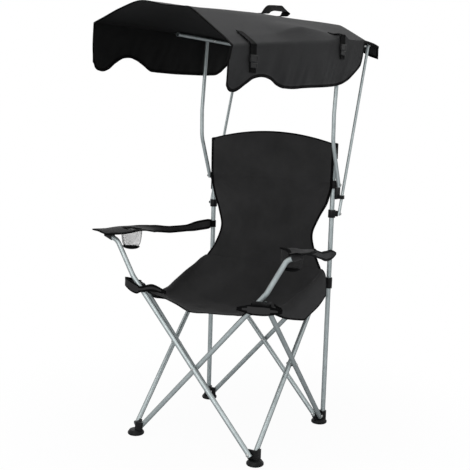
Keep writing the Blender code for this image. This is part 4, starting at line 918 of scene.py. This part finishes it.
def smooth_line(points, steps):
    """Points along a smooth curve through the given ones."""
    line = []
    for k in range(len(points) - 1):
        before, after = points[max(k - 1, 0)], points[min(k + 2, len(points) - 1)]
        a, b = points[k], points[k + 1]
        for step in range(steps):
            t = step / steps
            line.append(0.5 * (2 * a + (b - before) * t + (2 * before - 5 * a + 4 * b - after) * t * t
                               + (3 * a - before - 3 * b + after) * t ** 3))
    line.append(points[-1])
    return line


# The band that each front corner of the seat ends in: X outward, Y, lower and upper edge.
LEFT_BAND = (
    (0.113, -0.229, 0.4830, 0.4925), (0.160, -0.236, 0.4860, 0.5100), (0.197, -0.2455, 0.4810, 0.5000),
    (0.214, -0.2465, 0.4740, 0.5050), (0.235, -0.2475, 0.4790, 0.5130), (0.257, -0.2440, 0.4900, 0.5210),
    (0.270, -0.232, 0.4950, 0.5200), (0.262, -0.216, 0.4940, 0.5160), (0.250, -0.200, 0.4920, 0.5100),
    (0.246, -0.180, 0.4900, 0.5040))
RIGHT_BAND = (
    (0.150, -0.234, 0.4700, 0.4800), (0.171, -0.2385, 0.4690, 0.4865), (0.197, -0.2455, 0.4670, 0.4950),
    (0.216, -0.2470, 0.4660, 0.4965), (0.254, -0.2455, 0.4690, 0.4990), (0.287, -0.240, 0.4765, 0.4950),
    (0.300, -0.232, 0.4800, 0.4880), (0.290, -0.216, 0.4780, 0.4920), (0.265, -0.200, 0.4760, 0.4940),
    (0.248, -0.180, 0.4740, 0.4940))
for side, word, stops in ((-1, "left", LEFT_BAND), (1, "right", RIGHT_BAND)):
    lower = smooth_line([at(side * x, y, low) for x, y, low, high in stops], 5)
    upper = smooth_line([at(side * x, y, high) for x, y, low, high in stops], 5)
    rows = [[low.lerp(high, share) for share in (0, 0.17, 0.34, 0.5, 0.66, 0.83, 1)]
            for low, high in zip(lower, upper)]
    area, width, length = flat_area(rows)
    band = cloth_sheet(word + "_corner_band", rows, (True, True, False, False), (seat_cloth, black_tape))
    corner = "front_" + word + "_corner"
    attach(band, corner)
    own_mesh(band)


# ---- Armrests -----------------------------------------------------------------------------
# A strap looped round each post that twists flat and widens into a padded rest, slipped over
# the end of the arm support, with a bound hole for the cup holder.

ARM_LINE = ((0.2431, 0.262, 90), (0.2431, 0.230, 90), (0.252, 0.170, 90), (0.262, 0.110, 90),
            (0.272, 0.050, 86), (0.281, 0.000, 70), (0.288, -0.040, 42), (0.294, -0.080, 16),
            (0.303, -0.120, 4), (0.310, -0.160, 0), (0.315, -0.200, 0), (0.315, -0.240, 0),
            (0.315, -0.275, 0))
LEFT_ARM_Z = [(-0.275, 0.669), (-0.225, 0.669), (-0.168, 0.6660), (-0.100, 0.6610), (-0.040, 0.6555),
              (0.030, 0.6475), (0.100, 0.6460), (0.170, 0.6500), (0.230, 0.652)]
RIGHT_ARM_Z = [(-0.275, 0.6695), (-0.225, 0.669), (-0.168, 0.6615), (-0.100, 0.6500), (0.000, 0.630),
               (0.100, 0.606), (0.170, 0.594), (0.230, 0.590)]
ARM_OUTER_W = [(-0.275, 0.059), (-0.240, 0.061), (-0.160, 0.058), (-0.100, 0.041), (-0.050, 0.017),
               (0.0, 0.012), (0.100, 0.012), (0.150, 0.017), (0.210, 0.018), (0.235, 0.014), (0.262, 0.004)]
LEFT_ARM_INNER_W = [(-0.275, -0.003), (-0.240, 0.034), (-0.200, 0.058), (-0.160, 0.058), (-0.100, 0.041),
                    (-0.050, 0.017), (0.0, 0.012), (0.100, 0.012), (0.150, 0.017), (0.210, 0.018),
                    (0.235, 0.014), (0.262, 0.004)]
RIGHT_ARM_INNER_W = [(-0.275, -0.022), (-0.240, -0.002), (-0.220, 0.018), (-0.200, 0.046), (-0.168, 0.056),
                     (-0.130, 0.050), (-0.100, 0.036)] + LEFT_ARM_INNER_W[5:]
# How far along the rest its inner edge hangs lower than its outer one
DROOP_ALONG = [(-0.275, 1), (-0.235, 0.75), (-0.205, 0.25), (-0.170, 0)]
STRAP_HALF_W = 0.012
CUP_X, CUP_Y, CUP_R = 0.296, -0.168, 0.034


def shorten_with_fold(pieces):
    """Gives each of an armrest's pieces a mesh of its own."""
    for piece in pieces:
        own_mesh(piece)


arm_tables = [[(y, row[index]) for y, row in sorted((line[1], line) for line in ARM_LINE)] for index in (0, 2)]

for side, word, heights, inner_w, droop in ((-1, "left", LEFT_ARM_Z, LEFT_ARM_INNER_W, 0.013),
                                            (1, "right", RIGHT_ARM_Z, RIGHT_ARM_INNER_W, 0.006)):
    strap_z = heights[-1][1]
    ys = spaced(-0.275, 0.262, 0.0050, True, True)
    rows, slants = [], []
    for y in ys:
        x, twist = (blend(table, y) for table in arm_tables)
        turn = math.radians(twist)
        outer, inner = blend(ARM_OUTER_W, y), blend(inner_w, y)
        half_w = (outer + inner) / 2
        across = Vector((side * math.cos(turn), 0, math.sin(turn)))
        up = Vector((-side * math.sin(turn), 0, math.cos(turn)))
        middle = Vector((side * x, y, blend(heights, y))) + across * (outer - inner) / 2
        cut = (blend(inner_w, y + 0.002) - blend(inner_w, y - 0.002)) / 0.004
        inner_tape = min(TAPE_W * math.hypot(1, cut), half_w * 0.5)
        outer_tape = min(TAPE_W, half_w * 0.4)
        plain = [-half_w + inner_tape + 0.0006, half_w - outer_tape - 0.0006]
        stops = [-half_w, -half_w + inner_tape / 2, -half_w + inner_tape]
        stops += [plain[0] + (plain[1] - plain[0]) * i / 18 for i in range(19)]
        stops += [half_w - outer_tape, half_w - outer_tape / 2, half_w]
        slants.append((inner_tape / TAPE_W, outer_tape / TAPE_W))
        row = []
        for stop in stops:
            share = stop / half_w
            crown = 0.0035 * (1 - share * share) * dent(y, -0.19, 0.11) * (1 if abs(twist) < 30 else 0.3)
            wave = noise.noise(Vector((y * 17 + side, share * 1.3, 4 + side)))
            wave *= 0.0022 * min(1, (0.262 - y) / 0.1)
            sag = 0.0045 * dent(y, -0.215, 0.05) * max(0, share) ** 3
            sag += droop * blend(DROOP_ALONG, y) * (1 - share) / 2
            row.append(at(*(middle + across * stop + up * (crown + wave - sag))))
        rows.append(row)
    area, width, length = flat_area(rows)
    rest = cloth_sheet(word + "_armrest_cloth", rows, (True, True, True, True), (seat_cloth, black_tape),
                       thickness=0.0024, slant=slants)
    bpy.ops.object.select_all(action='DESELECT')
    bpy.ops.mesh.primitive_cylinder_add(vertices=48, radius=CUP_R + 0.001, depth=0.05,
                                        location=at(side * CUP_X, CUP_Y, blend(heights, CUP_Y)))
    punch = bpy.context.object
    bpy.context.view_layer.objects.active = rest
    hole = rest.modifiers.new("cup_hole", 'BOOLEAN')
    hole.operation = 'DIFFERENCE'
    hole.solver = 'EXACT'
    hole.object = punch
    bpy.ops.object.modifier_apply(modifier="cup_hole")
    bpy.data.objects.remove(punch)

    bpy.ops.object.select_all(action='DESELECT')
    bpy.ops.mesh.primitive_cylinder_add(vertices=32, radius=0.0094, depth=STRAP_HALF_W * 2,
                                        end_fill_type='NOTHING', location=at(side * POST, POST, strap_z))
    loop = bpy.context.object
    bpy.ops.object.transform_apply(location=True, rotation=True, scale=True)
    bpy.ops.object.mode_set(mode='EDIT')
    bpy.ops.mesh.select_all(action='SELECT')
    bpy.ops.mesh.subdivide(number_cuts=3)
    bpy.ops.object.mode_set(mode='OBJECT')
    thicken(loop, 0.0014, 0.0)
    bpy.ops.object.shade_smooth_by_angle(angle=math.radians(50))
    join_pieces([loop], word + "_armrest_loop", black_tape, word + "_armrest")

    plane = -OUTER if side < 0 else -INNER
    low, high = at(side * 0.322, plane, 0.6434), at(side * 0.350, plane, 0.6542)
    bpy.ops.object.select_all(action='DESELECT')
    bpy.ops.mesh.primitive_cylinder_add(vertices=32, radius=0.0106, depth=(high - low).length,
                                        location=(low + high) / 2, end_fill_type='NGON',
                                        rotation=(high - low).to_track_quat('Z', 'Y').to_euler())
    sleeve = bpy.context.object
    bpy.ops.object.transform_apply(location=True, rotation=True, scale=True)
    mouth = (low - high).normalized()
    select_faces(sleeve, lambda face: face.normal.dot(mouth) > 0.9)
    bpy.ops.mesh.delete(type='FACE')
    bpy.ops.object.mode_set(mode='OBJECT')
    thicken(sleeve, 0.0014)
    soft = sleeve.modifiers.new("soft_edges", 'BEVEL')
    soft.width = 0.0030
    soft.segments = 3
    soft.limit_method = 'ANGLE'
    bpy.ops.object.modifier_apply(modifier="soft_edges")
    bpy.ops.object.shade_smooth_by_angle(angle=math.radians(50))
    join_pieces([sleeve], word + "_armrest_sleeve", seat_cloth, word + "_armrest")

    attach(rest, word + "_armrest")
    shorten_with_fold([rest, sleeve])
    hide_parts(word + "_armrest")


# ---- Cup holders --------------------------------------------------------------------------
# A wire ring in a tape hem at each hole, and a soft black net bag below it with a woven floor.

net_cord = speckled_finish(
    "black_net_cord", 4000, 120, [(0.3, (0.010, 0.010, 0.010)), (0.7, (0.022, 0.022, 0.022))],
    (0.55, 0.75), (0.3, 0.0002))[0]
NET_DEPTH, STRAND = 0.0540, 0.00045
CUP_PROFILE = ((0.0335, 0.000), (0.0334, -0.010), (0.0326, -0.022), (0.0312, -0.034), (0.0290, -0.045),
               (0.0255, -0.0525), (0.0180, -0.0555), (0.0090, -0.0560), (0.0, -0.0562))


def cup_radius(depth):
    return blend([(-d, r) for r, d in CUP_PROFILE], depth)


for side, word, heights in ((-1, "left", LEFT_ARM_Z), (1, "right", RIGHT_ARM_Z)):
    centre = Vector((side * CUP_X, CUP_Y, blend(heights, CUP_Y)))
    fall = blend(heights, CUP_Y - CUP_R) - blend(heights, CUP_Y + CUP_R)
    tilt = Matrix.Translation(at(*centre)) @ Matrix.Rotation(-math.atan2(fall, CUP_R * 2), 4, 'X')
    bpy.ops.object.select_all(action='DESELECT')
    bpy.ops.mesh.primitive_torus_add(major_segments=64, minor_segments=12, major_radius=CUP_R + 0.0008,
                                     minor_radius=0.0026)
    ring = bpy.context.object
    ring.data.transform(tilt)
    bpy.ops.object.shade_smooth()
    join_pieces([ring], word + "_cup_ring", black_tape, word + "_armrest")

    bpy.ops.object.select_all(action='DESELECT')
    bpy.ops.mesh.primitive_grid_add(x_subdivisions=48, y_subdivisions=16, size=2)
    net = bpy.context.object
    for vertex in net.data.vertices:
        turn, depth = (vertex.co.x + 1) * math.pi, (vertex.co.y + 1) / 2 * NET_DEPTH
        sway = 1 + 0.06 * math.sin(turn * 3 + side) * depth / 0.05 + 0.04 * math.sin(turn * 7) * depth / 0.05
        r = cup_radius(depth) * sway
        vertex.co = (r * math.cos(turn), r * math.sin(turn), -depth)
    net.data.transform(tilt)
    bpy.ops.object.mode_set(mode='EDIT')
    bpy.ops.mesh.select_all(action='SELECT')
    bpy.ops.mesh.remove_doubles(threshold=0.0001)
    bpy.ops.mesh.poke()
    bpy.ops.mesh.normals_make_consistent(inside=False)
    bpy.ops.object.mode_set(mode='OBJECT')
    bm = bmesh.new()
    bm.from_mesh(net.data)
    long_ways = [edge for edge in bm.edges if len(edge.link_faces) == 2
                 and all(len(end.link_edges) > 4 for end in edge.verts)]
    bmesh.ops.dissolve_edges(bm, edges=long_ways, use_verts=False)
    bm.to_mesh(net.data)
    bm.free()
    strands = net.modifiers.new("strands", 'WIREFRAME')
    strands.thickness = STRAND
    strands.use_boundary = True
    bpy.ops.object.modifier_apply(modifier="strands")
    bpy.ops.object.shade_smooth()
    join_pieces([net], word + "_cup_net", net_cord, word + "_armrest")
    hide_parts(word + "_cup_holder")

    bpy.ops.object.select_all(action='DESELECT')
    bpy.ops.mesh.primitive_uv_sphere_add(segments=40, ring_count=16, radius=0.0285)
    floor_cloth = bpy.context.object
    bpy.ops.object.mode_set(mode='EDIT')
    bpy.ops.mesh.select_all(action='SELECT')
    bpy.ops.mesh.bisect(plane_co=(0, 0, 0), plane_no=(0, 0, 1), clear_outer=True)
    bpy.ops.mesh.select_all(action='SELECT')
    bpy.ops.transform.resize(value=(1, 1, 0.36))
    bpy.ops.transform.translate(value=(0, 0, -0.0462))
    bpy.ops.object.mode_set(mode='OBJECT')
    floor_cloth.data.transform(tilt)
    thicken(floor_cloth, 0.001)
    bpy.ops.object.shade_smooth_by_angle(angle=math.radians(50))
    join_pieces([floor_cloth], word + "_cup_floor", black_tape, word + "_armrest")
    shorten_with_fold([ring, net, floor_cloth])


# ---- Canopy cover -------------------------------------------------------------------------
# One sewn cover of coated cloth laid over the two arms: a peaked roof that hangs askew, a
# waved valance on each side, and tape round its edges. It is tied to the arms at its seams.

roof_cloth = make_cloth("grey_coated_cloth", (0.0205, 0.0205, 0.0210), (0.0255, 0.0255, 0.0260),
                        (0.0330, 0.0330, 0.0335), 0.04, 0.66, 1500, 7)
# The cover's inside face is black: partly the lining's own colour, partly painted shade for the shaded underside of
# the cover.
lining_with_painted_shade = make_cloth("black_coated_lining_with_painted_shade", (0.0045, 0.0045, 0.0045), (0.006, 0.006, 0.006),
                    (0.0085, 0.0085, 0.0085), 0.01, 0.70, 1500, 7)

SEAM_X, LEAST_HANG, REAR_DROP = 0.2645, 0.008, 0.045
SKEW = [(-0.452, 0.1755), (0.520, 0.085)]
ROOF_X = (-SEAM_X, -ARM_X, -0.155, -0.070, 0.010, 0.090, 0.112, 0.155, ARM_X, SEAM_X)
ROOF_Z = (
    [(-0.4056, 1.304), (-0.0775, 1.309), (0.1765, 1.3085), (0.2225, 1.308), (0.4305, 1.3042),
     (0.5425, 1.301)],
    [(-0.4114, 1.3145), (-0.080, 1.3135), (-0.020, 1.3112), (0.196, 1.308), (0.430, 1.3042),
     (0.540, 1.3025)],
    [(-0.4248, 1.3395), (-0.060, 1.348), (0.430, 1.361), (0.530, 1.350)],
    [(-0.4397, 1.3555), (-0.200, 1.363), (0.150, 1.380), (0.430, 1.386), (0.525, 1.378)],
    [(-0.4538, 1.342), (-0.250, 1.355), (0.100, 1.374), (0.430, 1.382), (0.520, 1.383)],
    [(-0.4678, 1.332), (-0.430, 1.3345), (-0.105, 1.3515), (0.380, 1.374), (0.512, 1.377)],
    [(-0.4717, 1.3295), (-0.100, 1.3475), (0.380, 1.367), (0.510, 1.3725)],
    [(-0.4792, 1.304), (-0.200, 1.321), (-0.060, 1.332), (0.200, 1.343), (0.430, 1.350), (0.507, 1.3508)],
    [(-0.4926, 1.2524), (-0.220, 1.278), (-0.080, 1.3085), (-0.023, 1.3158), (0.040, 1.315), (0.100, 1.3135),
     (0.150, 1.3115), (0.196, 1.3092), (0.250, 1.309), (0.430, 1.3065), (0.500, 1.309)],
    [(-0.4986, 1.2263), (-0.393, 1.237), (-0.274, 1.249), (-0.112, 1.2634), (0.022, 1.2753), (0.100, 1.283),
     (0.148, 1.293), (0.180, 1.3088), (0.214, 1.3088), (0.240, 1.301), (0.310, 1.3035), (0.370, 1.308),
     (0.450, 1.3045), (0.4975, 1.2985)],
)
LEFT_HEM = [(-0.4056, 1.19), (-0.397, 1.172), (-0.383, 1.167), (-0.364, 1.165), (-0.336, 1.172),
            (-0.298, 1.194), (-0.259, 1.21), (-0.229, 1.213), (-0.198, 1.207), (-0.15, 1.188),
            (-0.112, 1.176), (-0.01, 1.175), (0.109, 1.177), (0.258, 1.183), (0.305, 1.196),
            (0.332, 1.21), (0.37, 1.234), (0.4, 1.262), (0.42, 1.3)]
RIGHT_HEM = [(-0.5195, 1.1246), (-0.5065, 1.1112), (-0.4939, 1.1078), (-0.482, 1.108), (-0.469, 1.111),
             (-0.424, 1.130), (-0.382, 1.147), (-0.333, 1.153), (-0.287, 1.149), (-0.251, 1.136),
             (-0.208, 1.127), (-0.165, 1.127), (-0.068, 1.133), (0.087, 1.142), (0.154, 1.148),
             (0.223, 1.163), (0.286, 1.189), (0.341, 1.221), (0.355, 1.249), (0.370, 1.298)]
# How far forward the front edge of each side swings, by its drop
LEFT_SWING = [(0, 0), (0.110, 0.003)]
RIGHT_SWING = [(0, 0), (0.0185, 0.0108), (0.0389, 0.0170), (0.0691, 0.0203), (0.1017, 0.0209)]


def read_through(xs, values, x):
    """A smooth curve through points with slopes from their neighbours."""
    k = max(0, min(len(xs) - 2, next((n for n in range(len(xs) - 1) if x <= xs[n + 1]), len(xs) - 2)))

    def slope(n):
        low, high = max(0, n - 1), min(len(xs) - 1, n + 1)
        return (values[high] - values[low]) / (xs[high] - xs[low])
    width = xs[k + 1] - xs[k]
    t = (x - xs[k]) / width
    return ((2 * t ** 3 - 3 * t * t + 1) * values[k] + (t ** 3 - 2 * t * t + t) * width * slope(k)
            + (3 * t * t - 2 * t ** 3) * values[k + 1] + (t ** 3 - t * t) * width * slope(k + 1))


def rib_point(rib, y):
    """Where a rib of the roof crosses its line y; the lines hang askew."""
    along = y - blend(SKEW, y) * ROOF_X[rib]
    return Vector((ROOF_X[rib], along, blend(ROOF_Z[rib], along)))


def roof_line(y, steps):
    """The roof from seam to seam on its line y: smooth between its ribs, straight outside the arms."""
    heights = [rib_point(rib, y).z for rib in range(len(ROOF_X))]
    line = []
    for i in range(steps + 1):
        x = SEAM_X * (2 * i / steps - 1)
        if abs(x) > ARM_X:
            inner, outer = (heights[1], heights[0]) if x < 0 else heights[-2:]
            z = inner + (outer - inner) * (abs(x) - ARM_X) / (SEAM_X - ARM_X)
        else:
            z = read_through(ROOF_X[1:-1], heights[1:-1], x)
        billow = 0.0022 * noise.noise(Vector((x * 8 + 3, y * 5, 2))) * min(1.0, (SEAM_X - abs(x)) / 0.05)
        line.append(Vector((x, y - blend(SKEW, y) * x, z + billow)))
    return line


cover_ys = spaced(-0.452, 0.520, 0.0060, True, False)
cover_rows, slants = [], []
for y in cover_ys:
    roof = roof_line(y, 96)
    sides, row_slants = [], []
    for side, top, hem, swing in ((-1, roof[0], LEFT_HEM, LEFT_SWING), (1, roof[-1], RIGHT_HEM, RIGHT_SWING)):
        near_front = dent(y, cover_ys[0], 0.10)
        along = top.y
        for attempt in range(4):
            depth = max(LEAST_HANG, top.z - blend(hem, along))
            along = top.y - blend(swing, depth) * near_front
        climb = (blend(hem, along + 0.002) - blend(hem, along - 0.002)) / 0.004
        tape = min(TAPE_W * math.hypot(1, climb), depth * 0.85)
        row_slants.append(tape / TAPE_W)
        drops = [(depth - tape - 0.0006) * (n + 1) / 18 for n in range(18)]
        drops += [depth - tape, depth - tape / 2, depth]
        hung = []
        for drop in drops:
            share = min(1.0, drop / 0.12)
            seam = 0.0007 * dent(drop, 0.004, 0.0022) if side > 0 else 0.0007 * dent(drop, 0.002, 0.0020)
            sway = (0.0040 * noise.noise(Vector((y * 13, side * 4.0, drop * 4)))
                    + 0.0022 * noise.noise(Vector((y * 34 + drop * 20, side * 9.0, drop * 9)))) * share
            out = side * (0.0016 * math.sin(math.pi * share) + seam + sway)
            hung.append(top + Vector((out, -blend(swing, drop) * near_front, -drop)))
        sides.append(hung)
    slants.append(row_slants)
    cover_rows.append([at(*p) for p in list(reversed(sides[0])) + roof + sides[1]])
canopy_looks = (roof_cloth, black_tape, lining_with_painted_shade, black_tape)
cover = cloth_sheet("canopy_roof_cloth", cover_rows, (True, True, True, False), canopy_looks, slant=slants)
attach(cover, "left_canopy_arm")
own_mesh(cover)
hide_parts("canopy_cover")

flap_rows = []
for drop in spaced(0, REAR_DROP, 0.005, False, True):
    row = []
    for p in roof_line(0.520, 72):
        wave = 0.0030 * noise.noise(Vector((p.x * 16, drop * 10, 5.5))) * drop / REAR_DROP
        row.append(at(p.x, p.y + CLOTH * drop / REAR_DROP + wave, p.z - drop))
    flap_rows.append(row)
flap = cloth_sheet("canopy_rear_flap", flap_rows, (True, True, False, True), canopy_looks, flip=True)
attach(flap, "left_canopy_arm")
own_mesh(flap)


# ---- Closing straps -----------------------------------------------------------------------
# Two webbing straps sewn to the roof's near slope, which hang over the seam and end in
# side-release buckles. They tie the rolled canopy when it is folded.

WEBBING, WEBBING_W = 0.0018, 0.032


def strap_piece(name, line, across, body, node, thickness=WEBBING, width=WEBBING_W):
    """A flat strap along a line of points, with its direction across at each and its edges sewn."""
    rows = [[p + half * width / 2 * share for share in (-1, -0.76, -0.4, 0, 0.4, 0.76, 1)]
            for p, half in zip(line, across)]
    strap = cloth_sheet(name, rows, (True, True, True, True), (black_tape, black_tape), thickness=thickness * 0.62)
    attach(strap, body)
    if node:
        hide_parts(node)
    return strap, flat_area(rows)


for word, y0 in (("front", -0.349), ("rear", 0.212)):
    slope, shoulder, seam = (at(*rib_point(rib, y0)) for rib in (-3, -2, -1))
    lift, out = Vector((0, 0, 0.0036)), Vector((0.0050, 0, 0))
    stops = [slope.lerp(shoulder, 0.84) + lift, slope.lerp(shoulder, 0.92) + lift, shoulder + lift,
             seam + lift * 0.9 + out * 0.55, seam + out + Vector((0, 0, -0.007)), seam + out + Vector((0, 0, -0.034)),
             seam + out * 1.05 + Vector((0, 0, -0.075))]
    line = smooth_line(stops, 8)
    strap, (area, width, length) = strap_piece(word + "_closing_webbing", line, [Vector((0, 1, 0))] * len(line),
                                               "right_canopy_arm", word + "_closing_strap")
    parts = []
    for low, high, half_w, thick in ((-0.048, -0.028, 0.0195, 0.0046), (-0.063, -0.0485, 0.0180, 0.0040)):
        bpy.ops.object.select_all(action='DESELECT')
        bpy.ops.mesh.primitive_cube_add(size=1, location=seam + out + Vector((0.0024, 0, (low + high) / 2)),
                                        scale=(thick, half_w * 2, high - low))
        block = bpy.context.object
        bpy.ops.object.transform_apply(location=True, rotation=True, scale=True)
        bpy.ops.object.mode_set(mode='EDIT')
        bpy.ops.mesh.select_all(action='SELECT')
        bpy.ops.mesh.bevel(offset=0.0011, segments=3)
        bpy.ops.mesh.select_all(action='DESELECT')
        bpy.ops.object.mode_set(mode='OBJECT')
        for face in block.data.polygons:
            face.select = face.normal.x > 0.99
        bpy.ops.object.mode_set(mode='EDIT')
        bpy.ops.mesh.inset(thickness=0.0022)
        bpy.ops.mesh.inset(thickness=0.0006, depth=-0.0007)
        bpy.ops.object.mode_set(mode='OBJECT')
        parts.append(block)
    for y_side in (-1, 1):
        bpy.ops.object.select_all(action='DESELECT')
        bpy.ops.mesh.primitive_cube_add(size=1, location=seam + out + Vector((0.0024, y_side * 0.0205, -0.042)),
                                        scale=(0.0034, 0.0030, 0.012))
        prong = bpy.context.object
        bpy.ops.object.transform_apply(location=True, rotation=True, scale=True)
        bpy.ops.object.mode_set(mode='EDIT')
        bpy.ops.mesh.select_all(action='SELECT')
        bpy.ops.mesh.bevel(offset=0.0009, segments=3)
        bpy.ops.object.mode_set(mode='OBJECT')
        parts.append(prong)
    for part in parts:
        bpy.context.view_layer.objects.active = part
        bpy.ops.object.select_all(action='DESELECT')
        part.select_set(True)
        bpy.ops.object.shade_smooth_by_angle(angle=math.radians(40))
    join_pieces(parts, word + "_buckle", moulded, "right_canopy_arm")


# ---- Carrying loop ------------------------------------------------------------------------
# A loop of the same webbing sewn flat to the ridge at both ends; it stands up by its own
# stiffness and leans back.

HANDLE_LINE = ((0.102, 0.0032), (0.118, 0.0032), (0.131, 0.0050), (0.148, 0.0155), (0.168, 0.0240),
               (0.196, 0.0265), (0.242, 0.0285), (0.272, 0.0290), (0.281, 0.0225), (0.274, 0.0130),
               (0.262, 0.0058), (0.248, 0.0034), (0.232, 0.0032))
stops = [at(ROOF_X[4], y, blend(ROOF_Z[4], y) + height) for y, height in HANDLE_LINE]
line, across = smooth_line(stops, 6), []
for p in line:
    above = p.z - blend(ROOF_Z[4], p.y - MIDDLE_Y)
    twist = math.radians(45) * min(1.0, max(0.0, (above - 0.010) / 0.020))
    across.append(Vector((math.cos(twist), 0, -math.sin(twist))))
handle, (area, width, length) = strap_piece("carrying_loop", line, across, "left_canopy_arm", "carry_handle")
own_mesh(handle)

low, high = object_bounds()
